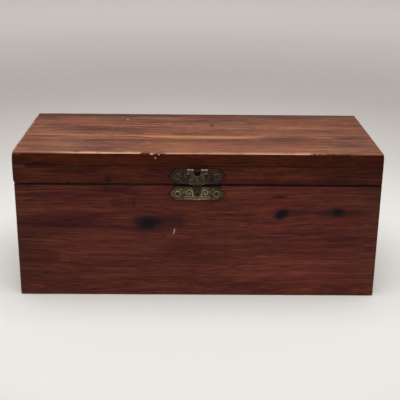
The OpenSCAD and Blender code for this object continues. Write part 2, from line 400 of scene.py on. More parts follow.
def board(node, body, material, upright, top, bottom, step=(3.0, 3.0, 3.0), cuts=((), (), ()), keep=None, seed=0.0, shape=None, fine=((1.0, 1.0), (1.0, 1.0), (1.0, 1.0)), rough=0.03):
    """One board in the place of its CAD node. upright, top and bottom are the radii of its edges, or functions of
    the points that give them; shape(out, p, lo, hi) may move points afterwards, inwards only."""
    lo, hi = mm_box(node)
    axes = [lines(lo[i], hi[i], fine[i][0], fine[i][1], step[i], cuts[i]) for i in range(3)]
    p, quads = block(*axes, keep=keep)
    radii = [r(p) if callable(r) else r for r in (upright, top, bottom)]
    out = round_edges(p, lo, hi, *radii)
    # very shallow hollows where the wood was sanded, always inwards
    dent = rough * (0.5 + 0.5 * wobble(p, 17.0, seed + 3.1))
    for i in range(3):
        low, high = np.isclose(p[:, i], lo[i]), np.isclose(p[:, i], hi[i])
        out[:, i] += np.where(low, dent, 0.0) - np.where(high, dent, 0.0)
    if shape:
        out = shape(out, p, lo, hi)
    return mesh_object(node + "_wood", out, quads, body, (node,), material)


def near(v, at, width):
    """A bump of height 1 at `at`, gone at `width` away"""
    t = np.clip(1.0 - np.abs(v - at) / width, 0.0, 1.0)
    return t * t * (3 - 2 * t)


def ramp01(v, a, b):
    t = np.clip((v - a) / (b - a), 0.0, 1.0)
    return t * t * (3 - 2 * t)


def lapped(cx, cy, cz, x0, x1, back):
    """Cells of a wall whose ends are rabbeted over the end boards"""
    inner = (cy < BACK - LIP) if back else (cy > FRONT + LIP)
    return ~(inner & ((cx < x0 + WALL) | (cx > x1 - WALL)))


# ------------------------------------------------------------------ wood
def cedar(name, grain, seed, pith, ring, tones, wave=1.0, knots=(), features=None, inside=None, worn_and_highlit=None, contrast=1.0, shine=0.40, clasp_shade=False):
    """Stained red cedar, worked out in space so that faces and end grain agree. grain is "x" or "y"; pith is where
    the tree's centre line crosses the other two coordinates; tones are the dark, middle and light of the finish."""
    g = Graph(name)
    x, y, z = g.x, g.y, g.z
    u, a, b = (x, y, z) if grain == "x" else (y, x, z)
    k = dict(g=g, x=x, y=y, z=z, u=u, seed=seed)
    # knots push the grain aside as a stream goes round a stone
    for i, (ku, kv, r, stretch, push) in enumerate(knots):
        du, dv = (u - ku) * stretch, b - kv
        r2 = du * du + dv * dv
        b = b - dv * (r * r * push) / (r2 + r * r * 0.6)
    # slow bends of the grain along the board
    bend_b = (g.noise(u * 0.011 + seed, a * 0.012, b * 0.014 + seed * 3.1, 1.0) - 0.5) * (26.0 * wave)
    bend_a = (g.noise(u * 0.010 + 31.0 + seed, a * 0.012, b * 0.014, 1.0) - 0.5) * (26.0 * wave)
    ripple = (g.noise(u * 0.05, a * 0.10, b * 0.10 + seed * 5.3, 1.0) - 0.5) * (1.3 * wave)
    a1, b1 = a + bend_a + ripple, b + bend_b + ripple
    pa, pb = a1 - pith[0], b1 - pith[1]
    rho = g.sqrt(pa * pa + pb * pb)
    t = rho / ring + (g.noise(rho * 0.11, seed * 5.0, 0.0, 2.0) - 0.5) * 6.0
    f = g.math("FRACT", t)
    weight = g.white(g.math("FLOOR", t) + seed * 13.0)
    late = g.step(f, 0.30, 0.92) * g.step(f, 1.0, 0.94) * (weight * 0.85 + 0.15)
    # streaks of the fibres at three sizes
    streak = g.noise(u * 0.013, a1 * 1.05, b1 * 1.05 + seed * 11.0, 2.0, 0.6)
    fibre = g.noise(u * 0.058, a1 * 2.6, b1 * 2.6 + seed, 3.0, 0.62)
    hair = g.noise(u * 0.22, a * 6.5, b * 6.5 + seed * 2.0, 2.0, 0.6)
    flow = g.noise(u * 0.014, a1 * 0.20, b1 * 0.20 + seed * 2.0, 2.0, 0.55)
    broad = g.noise(u * 0.016 + 9.0, a1 * 0.055, b1 * 0.055 + seed, 2.0, 0.5)
    hue = g.noise(u * 0.022 + 4.0, a1 * 0.13, b1 * 0.13 + seed * 4.0, 2.0, 0.5)
    k.update(a=a, b=b, rho=rho, late=late, streak=streak, fibre=fibre, hair=hair, flow=flow, broad=broad, hue=hue)
    # thin long lines, some pale and some dark, over the softer streaks
    thin = g.noise(u * 0.009, a1 * 1.9, b1 * 1.9 + seed * 6.0, 1.0, 0.5)
    mottle = g.noise(u * 0.15, a1 * 1.05, b1 * 1.05 + seed * 7.0, 2.0, 0.6)
    v = 0.5 + ((streak - 0.5) * 0.44 + (fibre - 0.5) * 0.60 + (mottle - 0.5) * 0.50 + (flow - 0.5) * 0.40 + (broad - 0.5) * 0.42 - (late - 0.18) * 0.12) * contrast
    v = v + (g.step(thin, 0.55, 0.68) * 0.14 - g.step(thin, 0.44, 0.32) * 0.08) * contrast
    k["v"] = v
    dark, mid, light = tones
    col = g.ramp(v, [(0.06, tuple(c * 0.68 for c in dark)), (0.28, dark), (0.5, mid), (0.72, light), (0.92, tuple(min(1.0, c * 1.25) for c in light))])
    # the heartwood turns from orange to purple from place to place
    col = g.multiply(g.step(hue, 0.54, 0.72), col, (0.86, 0.76, 1.04))
    col = g.multiply(g.step(hue, 0.46, 0.28), col, (1.08, 1.02, 0.80))
    col = g.tint(col, 1.0 + (hair - 0.5) * 0.34)
    rough = g.step(fibre, 0.2, 0.85) * 0.10 + shine
    k["rough"], k["dent"] = rough, None
    if features:
        col = features(k, col)
    # painted shade: the seam between lid and case is darkened where shade falls in its gap; the glue line under the top
    # board is a dark joint
    seam = g.step(g.abs(z - (SEAM + LID_Z) / 2 + 0.1), 0.80, 0.58) * 0.98
    glue = g.step(g.abs(z - RAIL_TOP), 0.50, 0.15) * 0.65
    col = g.multiply(g.max(seam, glue), col, (0.13, 0.10, 0.09))
    # painted shade round the clasp plates and between them
    if clasp_shade:
        col = clasp_painted_shade(k, col)
    rough = k["rough"]
    if inside:
        mask, colour = inside(k)
        col = g.mix(mask, col, colour)
        rough = rough + mask * 0.24
        # painted shade darkens the outer arris on both sides of the seam, widening the seam's dark line
        outer = g.max(g.step(y, FRONT + 1.3, FRONT + 0.7), g.max(g.step(y, BACK - 1.3, BACK - 0.7), g.step(g.abs(x + 0.25), BW / 2 - 1.3, BW / 2 - 0.7)))
        col = g.multiply(outer * g.step(g.abs(z - (SEAM + LID_Z) / 2), 0.52, 0.30) * (g.step(x, -60.0, 30.0) * 0.25 + 0.72), col, (0.24, 0.13, 0.10))
    # worn bare wood along the edges, together with a painted highlight on them
    if worn_and_highlit:
        mask, colour = worn_and_highlit(k)
        col = g.mix(mask, col, colour)
        rough = rough + mask * 0.08
    g.put(g.bsdf.inputs["Base Color"], col)
    g.put(g.bsdf.inputs["Roughness"], rough)
    g.bsdf.inputs["Specular IOR Level"].default_value = 0.09
    height = fibre * 0.045 + hair * 0.03 + streak * 0.03 - late * 0.04
    if k["dent"] is not None:
        height = height - k["dent"]
    g.bump(height, 1.0, 0.5)
    return g.mat


BARE = (srgb(116, 58, 44), srgb(150, 86, 64), srgb(186, 126, 94))


def bare(k):
    """Unfinished red cedar, as inside the box"""
    g = k["g"]
    v = k["v"]
    col = g.ramp(v, [(0.12, tuple(c * 0.7 for c in BARE[0])), (0.30, BARE[0]), (0.5, BARE[1]), (0.74, BARE[2])])
    return g.multiply(g.step(k["hue"], 0.55, 0.72), col, (0.86, 0.74, 0.92))


def hollow(k, top, bottom):
    """1 on the faces that look into the box, between the two heights"""
    g = k["g"]
    inner = g.step(g.abs(k["x"]), BW / 2 - WALL + 0.4, BW / 2 - WALL + 0.1) * g.step(g.abs(k["y"]), BD / 2 - WALL + 0.4, BD / 2 - WALL + 0.1)
    return inner * g.step(k["z"], bottom - 0.3, bottom - 0.1) * g.step(k["z"], top + 0.3, top + 0.1)


def case_inside(k):
    g = k["g"]
    rim = g.step(k["z"], SEAM - 0.07, SEAM - 0.04)
    under = g.step(k["z"], 0.25, 0.10) * 0.7
    return g.clamp(hollow(k, 200.0, BOTTOM) + rim + under), bare(k)


def lid_inside(k):
    g = k["g"]
    rim = g.step(k["z"], LID_Z + 0.07, LID_Z + 0.04)
    return g.clamp(hollow(k, RAIL_TOP, -200.0) + rim), bare(k)


def clasp_painted_shade(k, col):
    """Painted shade round the two clasp plates, where they stand off the wood, most of it in the gap between them"""
    g, x, z = k["g"], k["x"], k["z"]
    a = g.abs(x + 0.8)
    n = (g.noise(x * 0.5, z * 0.7, 3.0, 2.0) - 0.5) * 1.2
    # distance outside the pointed outline of each plate
    near_ = None
    for mid, up, down in ((76.5, 4.6, 4.75), (65.8, 4.7, 4.0)):
        v = z - mid
        tall = g.max(v - up, v * -1.0 - down)
        point = (a - 16.0) * 0.72 + g.abs(v) * 0.66 - 0.3
        d = g.max(tall, point)
        near_ = d if near_ is None else g.min(near_, d)
    # painted shade: a dark ring round each plate and a darker band in the gap between the plates
    ring = g.step(near_ + n * 0.5, 1.5, 0.0) * 0.62
    gap = g.step(a, 15.0, 12.5) * g.step(g.abs(z - 71.0), 1.5, 1.0)
    col = g.multiply(ring, col, (0.22, 0.20, 0.20))
    return g.multiply(gap, col, (0.10, 0.08, 0.07))


def band(k, v, u0, u1, centre, half, soft=0.5, ends=8.0, ragged=0.0):
    """A long mark along the grain: from u0 to u1, half wide each side of centre, which may bend"""
    g, u = k["g"], k["u"]
    off = v - centre
    if ragged:
        off = off + (g.noise(u * 0.09, v * 0.5, k["seed"], 2.0) - 0.5) * ragged
    m = g.step(g.abs(off), half * (1 + soft), half * (1 - soft))
    return m * g.step(u, u0 - ends / 2, u0 + ends / 2) * g.step(u, u1 + ends / 2, u1 - ends / 2)


def blot(k, u, v, cu, cv, ru, rv, soft=0.7, ragged=0.5):
    """A soft-edged spot, its outline broken by the grain"""
    g = k["g"]
    n = (g.noise(u * 0.16 + cu, v * 0.55 + cv, k["seed"], 3.0, 0.6) - 0.5) * (ragged * 2.0)
    p, q = (u - cu) / ru, (v - cv) / rv
    return g.step(g.sqrt(p * p + q * q) + n, 1.0 + soft * 0.3, 1.0 - soft)


KNOT_RIM, KNOT_CORE = srgb(42, 19, 26), srgb(13, 10, 17)


def front_features(k, col):
    """The knots, stains and scratches of the case's front"""
    g, x, z = k["g"], k["x"], k["z"]
    # stains: darker purple clouds towards the left end and under the seam
    cloud = g.max(band(k, z, -108, -58, 47.5, 4.2, 0.7, 30, 3.0) * 0.75, band(k, z, -96, -20, 44.0, 2.0, 0.8, 30, 2.5) * 0.45)
    cloud = g.max(cloud, band(k, z, -60, -33, 67.3, 2.2, 0.7, 12, 2.0) * 0.7)
    cloud = g.max(cloud, band(k, z, 10, 48, 52.6, 1.1, 0.8, 18, 1.5) * 0.45)
    cloud = g.max(cloud, band(k, z, 52, 96, 54.2, 1.9, 0.8, 14, 2.0) * 0.55)
    cloud = g.max(cloud, blot(k, x, z, -48.5, 60.0, 5.0, 6.0) * 0.35)
    cloud = g.max(cloud, band(k, z, 40, 78, 41.2, 0.8, 0.8, 16, 1.2) * 0.6)
    cloud = g.max(cloud, band(k, z, -20, 60, 31.5, 1.6, 0.8, 40, 2.5) * 0.35)
    col = g.multiply(cloud, col, (0.50, 0.42, 0.62))
    # lighter streaks
    lit = g.max(band(k, z, -84, -44, 56.2, 1.5, 0.8, 20, 2.2), band(k, z, -36, 10, 56.6, 1.1, 0.8, 20, 1.6) * 0.8)
    lit = g.max(lit, band(k, z, -12, 34, 66.0, 1.2, 0.8, 16, 1.2) * 0.45)
    lit = g.max(lit, band(k, z, -95, -40, 37.5, 1.0, 0.8, 24, 2.4) * 0.6)
    lit = g.max(lit, band(k, z, 58, 106, 60.5, 1.0, 0.8, 20, 1.6) * 0.5)
    col = g.mix(lit * g.step(k["fibre"], 0.35, 0.6) * 0.55, col, srgb(122, 62, 40))
    # rosy places beside the knots
    rosy = g.max(blot(k, x, z, 49.5, 59.6, 8.0, 2.6) * 0.8, g.max(blot(k, x, z, 44.0, 44.6, 9.0, 3.0) * 0.6, blot(k, x, z, 84.0, 49.6, 11.0, 1.8) * 0.6))
    rosy = g.max(rosy, blot(k, x, z, -22.0, 49.5, 12.0, 5.0) * 0.35)
    col = g.mix(rosy * 0.5, col, srgb(112, 42, 36))
    # browner at the two ends
    ends = g.step(g.abs(x), 84.0, 107.0)
    col = g.multiply(ends * 0.9, col, (0.78, 0.95, 0.84))
    # a little darker low on the left, a little lighter low on the right
    low = g.step(z, 54.0, 40.0)
    col = g.tint(col, low * (g.curve(x, [(-108, 0.88), (-30, 0.91), (30, 1.04), (70, 1.22), (108, 1.22)]) - 1.0) + 1.0)
    # the knots: a dark purple rim, then a nearly black core with lighter fibres in it
    halo = g.max(blot(k, x, z, -29.2, 47.6, 11.0, 7.2, 0.75, 0.25), band(k, z, -24, -7, 48.2, 3.5, 0.5, 9, 2.0) * 0.82)
    halo = g.max(halo, g.max(blot(k, x - (z - 53.2) * 0.45, z, 49.2, 53.3, 6.3, 4.9, 0.75, 0.35), blot(k, x, z, 82.6, 54.6, 8.2, 3.9, 0.75, 0.35)))
    halo = g.max(halo, band(k, z, 68, 96, 54.5, 1.15, 0.7, 16, 1.0) * 0.9)
    halo = g.max(halo, band(k, z, 52, 68, 55.3, 1.3, 0.7, 12, 1.4) * 0.5)
    col = g.mix(halo * 0.86, col, KNOT_RIM)
    core = g.max(blot(k, x, z, -29.8, 47.2, 6.2, 4.4, 0.7, 0.25), blot(k, x, z, -24.0, 48.3, 4.8, 3.8, 0.8, 0.3) * 0.72)
    core = g.max(core, g.max(blot(k, x - (z - 53.2) * 0.5, z, 49.6, 53.3, 4.2, 3.5, 0.65, 0.35), blot(k, x, z, 83.3, 54.6, 3.9, 2.7, 0.7, 0.35)))
    core = g.max(core, g.max(blot(k, x, z, -35.0, 47.9, 3.6, 3.0, 0.8, 0.35) * 0.62, blot(k, x + (z - 45.0) * 0.3, z, -34.9, 45.0, 1.7, 2.4, 0.9, 0.5) * 0.42))
    col = g.mix(core * 0.93, col, KNOT_CORE)
    # the rings that sag round the second knot
    dx, dz = (x - 55.0) * 0.62, z - 60.0
    away = g.sqrt(dx * dx + dz * dz)
    sag = g.step(g.noise(away * 0.85, x * 0.03, 6.0, 1.0), 0.50, 0.64) * g.step(g.abs(away - 12.0), 5.5, 3.0) * g.step(z, 52.0, 49.0)
    col = g.multiply(sag * 0.6, col, (0.66, 0.56, 0.58))
    # small dark marks
    mark = g.max(band(k, z, 43.6, 52.4, 64.1, 0.8, 0.7, 6, 1.0) * 0.72, blot(k, x, z, -38.0, 59.4, 1.5, 2.2, 0.8) * 0.6)
    mark = g.max(mark, blot(k, x, z, -21.0, 38.6, 1.3, 1.3, 0.9, 0.5) * 0.5)
    mark = g.max(mark, blot(k, x, z, -99.0, 70.1, 1.6, 1.1, 0.8) * 0.5)
    mark = g.max(mark, g.max(blot(k, x, z, 30.2, 46.6, 2.2, 1.5, 0.9, 0.5) * 0.38, blot(k, x, z, 30.0, 40.9, 2.2, 1.4, 0.9, 0.5) * 0.28))
    mark = g.max(mark, blot(k, x, z, 102.0, 52.4, 3.2, 0.7, 0.8) * 0.6)
    mark = g.max(mark, blot(k, x, z, 94.5, 71.0, 1.5, 0.7, 0.8) * 0.6)
    col = g.mix(mark, col, srgb(30, 15, 13))
    # a short pale scratch
    scratch = blot(k, x - (z - 41.9) * 0.20, z, -14.3, 41.9, 0.55, 2.1, 0.6, 0.25)
    col = g.mix(scratch * 0.8, col, srgb(192, 150, 136))
    k["dent"] = core * 0.25 * k["fibre"] + scratch * 0.12 + mark * 0.03
    k["rough"] = k["rough"] + scratch * 0.2
    return col


def lid_front_features(k, col):
    """Stains and specks of the lid's front rail"""
    g, x, z = k["g"], k["x"], k["z"]
    cloud = g.max(band(k, z, -88, -54, 79.6, 2.6, 0.7, 14, 2.0) * 0.7, band(k, z, -30, -12, 80.2, 1.6, 0.7, 12, 1.2) * 0.5)
    cloud = g.max(cloud, band(k, z, 18, 110, 73.2, 1.3, 0.8, 30, 1.6) * 0.55)
    cloud = g.max(cloud, band(k, z, -70, -46, 76.3, 1.0, 0.8, 14, 1.2) * 0.3)
    col = g.multiply(cloud, col, (0.58, 0.50, 0.66))
    olive = g.step(x, -98.0, -107.0)
    col = g.multiply(olive * 0.8, col, (0.70, 0.82, 0.70))
    red = g.max(band(k, z, 12, 74, 76.0, 1.0, 0.8, 26, 1.0) * 0.8, band(k, z, -60, -30, 79.0, 1.2, 0.8, 20, 1.0) * 0.5)
    red = g.max(red, band(k, z, -46, -22, 75.0, 0.5, 0.8, 12, 0.6) * 0.7)
    col = g.mix(red * 0.4, col, srgb(116, 46, 34))
    dash = g.step(x, -100.4, -101.6) * g.step(x, -108.3, -107.6) * g.step(z, 80.9, 81.3)
    col = g.mix(dash * 0.8, col, srgb(84, 56, 46))
    under = band(k, z, -101, -82, 82.0, 0.9, 0.5, 5, 0.5) * 0.6
    col = g.multiply(under, col, (0.6, 0.5, 0.6))
    spot = g.max(blot(k, x, z, -52.7, 74.6, 2.6, 3.0, 0.8) * 0.8, blot(k, x, z, -76.2, 72.3, 1.6, 0.9, 0.7))
    spot = g.max(spot, blot(k, x, z, -63.0, 72.9, 1.2, 0.8, 0.8) * 0.5)
    col = g.mix(spot * 0.85, col, srgb(26, 14, 15))
    k["dent"] = spot * 0.05
    return col


def top_features(k, col):
    """Sapwood lines and stains of the lid's top board, measured back from the front edge, and its worn edges"""
    g, x, z = k["g"], k["x"], k["z"]
    d = k["y"] - FRONT
    # the front third is paler and pinker, most of all in the middle
    pale = g.step(d, 27.0, 9.0) * (g.step(x, -70.0, -10.0) * g.step(x, 92.0, 50.0) * 0.75 + 0.25)
    col = g.mix(pale * g.step(k["fibre"], 0.25, 0.62) * 0.42, col, srgb(174, 110, 84))
    rosy = g.max(blot(k, x, d, -5.0, 12.0, 30.0, 6.0, 0.8, 0.5) * 0.5, g.max(blot(k, x, d, 60.0, 70.0, 24.0, 9.0, 0.8, 0.5) * 0.6, blot(k, x, d, -72.0, 70.0, 26.0, 8.0, 0.8, 0.5) * 0.55))
    rosy = g.max(rosy, g.max(blot(k, x, d, 98.0, 52.0, 12.0, 8.0, 0.8) * 0.6, blot(k, x, d, 6.0, 56.0, 30.0, 6.0, 0.8) * 0.3))
    col = g.mix(rosy * 0.42, col, srgb(160, 88, 62))
    # dark purple stains
    cloud = g.max(blot(k, x, d, 55.0, 33.0, 20.0, 6.5, 0.8) * 1.0, blot(k, x, d, 96.0, 35.0, 17.0, 4.2, 0.8) * 0.95)
    cloud = g.max(cloud, blot(k, x, d, -62.0, 52.0, 24.0, 6.0, 0.8) * 0.75)
    cloud = g.max(cloud, blot(k, x, d, 24.0, 51.0, 26.0, 5.0, 0.8) * 0.55)
    cloud = g.max(cloud, blot(k, x, d, 10.0, 28.0, 30.0, 4.0, 0.8) * 0.4)
    cloud = g.max(cloud, blot(k, x, d, -58.0, 80.0, 12.0, 6.0, 0.8) * 0.5)
    cloud = g.max(cloud, blot(k, x, d, -2.0, 76.0, 16.0, 4.0, 0.8) * 0.5)
    # darker towards the back edge, across the whole width
    cloud = g.max(cloud, g.step(d, 81.0, 91.0) * 0.85)
    cloud = g.max(cloud, g.max(blot(k, x, d, 88.0, 22.0, 14.0, 6.0, 0.8) * 0.5, blot(k, x, d, -92.0, 62.0, 10.0, 10.0, 0.8) * 0.4))
    col = g.multiply(cloud, col, (0.46, 0.44, 0.54))
    # patches that lean to olive, rose or violet
    lean = g.noise(x * 0.045 + 7.0, d * 0.13, 2.0, 2.0, 0.55)
    col = g.multiply(g.step(lean, 0.50, 0.61), col, (0.96, 1.07, 0.99))
    col = g.multiply(g.step(lean, 0.49, 0.38), col, (1.04, 0.95, 1.06))
    lean = g.noise(x * 0.038 + 21.0, d * 0.17, 8.0, 2.0, 0.55)
    col = g.multiply(g.step(lean, 0.51, 0.62), col, (0.97, 1.03, 1.28))
    col = g.multiply(g.step(lean, 0.48, 0.38), col, (1.03, 1.05, 0.90))
    # duller towards the front left corner, with small dark pores
    dull = g.max(blot(k, x, d, -76.0, 18.0, 46.0, 20.0, 0.8, 0.3), blot(k, x, d, 98.0, 14.0, 22.0, 16.0, 0.8, 0.3))
    col = g.multiply(dull * 0.95, col, (0.76, 0.81, 0.92))
    pore = g.step(g.noise(x * 0.30, d * 0.75, 4.0, 2.0, 0.6), 0.62, 0.74)
    col = g.multiply(pore * 0.45, col, (0.58, 0.50, 0.52))
    # darker towards the back
    col = g.tint(col, g.step(d, 95.0, 20.0) * 0.16 + 0.84)
    # the sapwood line, which widens towards the middle and runs out to a point
    mid = g.curve(x, [(-108, 39.4), (-43, 38.6), (-26, 36.6), (10, 35.6), (40, 37.4), (60, 38.4)])
    half = g.curve(x, [(-108, 0.7), (-44, 0.9), (-26, 2.2), (4, 3.2), (20, 2.6), (36, 0.9), (44, 0.0)])
    off = g.abs(d - mid + (g.noise(x * 0.04, d * 0.3, 5.0, 2.0) - 0.5) * 1.6)
    strands = g.step(g.noise(x * 0.02, d * 1.1, 3.0, 2.0, 0.6), 0.34, 0.60) * 0.55 + 0.45
    sap = g.step(off / (half + 0.2), 1.45, 0.35) * g.step(x, 44.0, 34.0) * strands
    col = g.mix(sap * (g.step(x, -48.0, -20.0) * 0.2 + 0.6), col, srgb(206, 142, 94))
    line2 = g.curve(x, [(-80, 64.2), (-32, 63.4), (52, 61.6), (70, 59.0), (90, 54.6)])
    thin = g.step(g.abs(d - line2 + (g.noise(x * 0.05, 0.0, 8.0, 1.0) - 0.5) * 1.2), 1.5, 0.4) * g.step(x, -82.0, -70.0) * g.step(x, 98.0, 80.0)
    col = g.mix(thin * 0.42, col, srgb(190, 124, 88))
    # a small knot and a pale speck
    knot = blot(k, x, d, 9.1, 64.2, 1.6, 3.4, 0.7, 0.3)
    col = g.mix(knot * 0.8, col, srgb(40, 24, 26))
    speck = blot(k, x, d, -46.6, 78.0, 0.8, 1.3, 0.5, 0.2)
    col = g.mix(speck * 0.7, col, srgb(220, 190, 165))
    # the board's front edge: orange brown, with a purple-black stain along the glue line towards the left
    front = g.step(k["y"], FRONT + 1.5, FRONT + 0.5)
    col = g.multiply(front, col, (0.235, 0.105, 0.035))
    ends = g.max(g.step(g.abs(x + 0.25), 107.3, 107.9), g.step(k["y"], 46.4, 47.0)) * g.step(z, H - 0.5, H - 1.2)
    col = g.multiply(ends * (1.0 - front), col, (0.28, 0.17, 0.11))
    stain = band(k, z, -104, -80, 83.6, 0.9, 0.7, 8, 0.8) * front
    col = g.multiply(stain * 0.8, col, (0.55, 0.5, 0.75))
    # darker round the chips along the front edge
    near_edge = g.step(d + (H - z) * 1.2, 3.4, 1.2)
    chip_darkening = g.max(g.step(g.abs(x + 30.5), 4.2, 2.6), g.step(g.abs(x + 23.0), 2.2, 1.2)) * near_edge
    chip_darkening = g.max(chip_darkening, g.step(g.abs(x - 76.0), 13.0, 10.0) * near_edge * g.step(g.noise(x * 0.8, d * 0.8, z * 0.8, 2.0), 0.46, 0.60) * 0.85)
    col = g.multiply(chip_darkening, col, (0.30, 0.24, 0.22))
    fleck = g.max(blot(k, x, z, -25.2, 87.6, 0.62, 0.6, 0.5, 0.3), blot(k, x, z, -23.2, 89.6, 0.7, 0.5, 0.5, 0.3)) * g.step(k["y"], FRONT + 2.0, FRONT + 1.2)
    fleck = g.max(fleck, blot(k, x, d, -27.4, 0.5, 1.2, 1.0, 0.5, 0.3) * g.step(z, H - 1.4, H - 0.8))
    col = g.mix(fleck * 0.75, col, srgb(222, 170, 140))
    dash = g.step(x, -100.4, -101.6) * g.step(x, -108.3, -107.6) * g.step(z, 83.6, 83.1)
    col = g.mix(dash * front * 0.8, col, srgb(86, 58, 47))
    nick = blot(k, x, z, -105.0, 89.4, 2.2, 0.9, 0.6, 0.3) * front
    col = g.mix(nick * 0.5, col, srgb(96, 70, 56))
    dark_left = g.step(x, -99.0, -107.0) * front
    col = g.multiply(dark_left * 0.5, col, (0.7, 0.8, 0.7))
    k["dent"] = knot * 0.12 + speck * 0.05
    return col


def top_worn_and_highlit(k):
    """Pale bare wood where the top board's edges are worn, with a painted highlight along the rounded front edge and a
    strip behind it, broken along their length
    """
    g, x, y, z = k["g"], k["x"], k["y"], k["z"]
    n = g.noise(x * 0.12, y * 0.12, z * 0.3, 3.0, 0.6)
    # how worn and how brightly highlighted the front edge is from left to right
    along = g.curve(x, [(-108.5, 0.15), (-92, 0.20), (-72, 0.78), (-46, 1.0), (-33, 0.8), (-16, 0.75), (10, 0.65), (56, 0.8), (66, 0.55), (80, 0.22), (92, 0.15), (108, 0.18)])
    chip = g.noise(x * 0.55, y * 0.5, z * 0.5, 2.0, 0.6)
    crumbs = g.step(chip, 0.50, 0.60) * g.max(g.step(g.abs(x - 76.5), 13.5, 11.0), g.step(g.abs(x + 27.0), 8.0, 6.5))
    # how far a point stands out past the middle of the rounded edge, front and sides
    fy = FRONT + 0.9 - y
    sx = g.abs(x) - (BW / 2 - 0.9)
    up = z - (H - 0.95)
    # painted highlight and wear: the rounded front edge, a strip of the top behind it, and the side edges
    edge = g.step(fy + up, 0.45, 1.0) * g.step(up, 0.30, 0.62)
    strip = g.step(y - FRONT, 4.6, 1.2) * g.step(up, 0.55, 0.8) * g.step(n, 0.30, 0.60) * 0.6
    side = g.step(sx + up, 0.75, 1.3) * g.step(up, 0.2, 0.6) * 0.40
    m = g.max(g.max(edge, strip) * along * (g.step(n, 0.20, 0.52) * 0.5 + 0.5), side * g.step(n, 0.42, 0.62))
    return m * (1.0 - crumbs * 0.95) * 0.9, srgb(236, 184, 150)


case_tones = (srgb(63, 25, 23), srgb(87, 39, 31), srgb(111, 57, 43))
lid_tones = (srgb(48, 18, 12), srgb(68, 28, 17), srgb(90, 44, 24))
top_tones = (srgb(90, 50, 39), srgb(131, 79, 58), srgb(164, 107, 76))

m_top = cedar("cedar_top", "x", 1.0, (-40.0, 60.0), 2.8, top_tones, 0.5, features=top_features, inside=lid_inside, worn_and_highlit=top_worn_and_highlit, contrast=1.2)
m_lid_front = cedar("cedar_lid_front", "x", 2.0, (60.0, 60.0), 2.0, lid_tones, 0.35, features=lid_front_features, inside=lid_inside, clasp_shade=True)
m_lid_back = cedar("cedar_lid_back", "x", 3.0, (-20.0, 110.0), 2.2, lid_tones, 0.7, inside=lid_inside)
m_lid_left = cedar("cedar_lid_left", "y", 4.0, (-60.0, 60.0), 2.2, lid_tones, 0.7, inside=lid_inside)
m_lid_right = cedar("cedar_lid_right", "y", 5.0, (60.0, 100.0), 2.2, lid_tones, 0.7, inside=lid_inside)
m_front = cedar("cedar_front", "x", 6.0, (30.0, 20.0), 1.5, case_tones, 0.26, features=front_features, inside=case_inside, clasp_shade=True, contrast=0.86,
                knots=((-30.0, 47.6, 4.5, 0.55, 0.6), (49.9, 53.3, 4.0, 0.6, 0.65), (83.8, 54.6, 3.0, 0.6, 0.5)))
m_back = cedar("cedar_back", "x", 7.0, (-30.0, 60.0), 1.8, case_tones, 0.5, inside=case_inside)
m_left = cedar("cedar_left", "y", 8.0, (-60.0, 10.0), 1.8, case_tones, 0.5, inside=case_inside)
m_right = cedar("cedar_right", "y", 9.0, (60.0, 90.0), 1.8, case_tones, 0.5, inside=case_inside)
m_bottom = cedar("cedar_bottom", "x", 10.0, (-20.0, -50.0), 2.4, case_tones, 0.8, inside=case_inside)


def worn(base, p, seed, amount=0.35, size=9.0):
    """A radius that comes and goes along an edge"""
    return base * (1.0 + amount * wobble(p, size, seed))


def lid_top_radius(p):
    return worn(0.95, p, 11.0) + 0.15 * near(p[:, 1], FRONT, 6.0)


# chips along the front top edge: (x, half width, depth)
CHIPS = ((-31.2, 2.6, 0.95), (-27.6, 1.6, 0.55), (-23.8, 1.5, 0.95), (-21.6, 0.9, 0.4), (-93.0, 2.2, 0.35), (-104.6, 2.2, 0.55), (67.0, 1.6, 0.45),
         (70.6, 1.3, 0.7), (74.2, 1.5, 0.5), (77.0, 0.9, 0.6), (80.2, 1.6, 0.65), (83.6, 1.0, 0.45), (87.0, 1.3, 0.6), (4.0, 1.6, 0.25), (38.0, 1.4, 0.25), (-58.0, 1.3, 0.3))


def chipped(out, p, lo, hi):
    """Small bites out of the front top edge, and the two front corners knocked round"""
    out = out.copy()
    d_edge = np.maximum(out[:, 1] - lo[1], 0) + np.maximum(hi[2] - out[:, 2], 0)
    w = np.clip(1.0 - d_edge / 2.6, 0, 1)
    bite = np.zeros(len(p))
    for cx, half, deep in CHIPS:
        bite = np.maximum(bite, deep * near(out[:, 0], cx, half * 1.5))
    bite = bite * (1.0 + 0.5 * wobble(p, 0.8, 21.0))
    out[:, 1] += 0.75 * bite * w
    out[:, 2] -= 0.85 * bite * w
    for cx, size in ((lo[0], 1.5), (hi[0], 1.1)):
        d = np.sqrt((out[:, 0] - cx) ** 2 + (out[:, 1] - lo[1]) ** 2 + (out[:, 2] - hi[2]) ** 2)
        k = np.clip(1.0 - d / (size * 2.4), 0, 1) * size * 0.35
        out[:, 0] += k * np.sign(-cx)
        out[:, 1] += k
        out[:, 2] -= k
    return out


def lid_glue_radius(p):
    return 0.10 + 0.12 * ramp01(p[:, 0], 8.0, 40.0) + 0.05 * ramp01(-p[:, 0], 82.0, 96.0)


def lid_front_bottom(p):
    # the seam opens towards the right end, and the left corner is rubbed round
    r = 0.25 + 0.65 * ramp01(p[:, 0], 86.0, 95.0) + 1.6 * ramp01(-p[:, 0], 105.6, 108.4)
    return r * (1 + 0.15 * wobble(p, 7.0, 5.0))


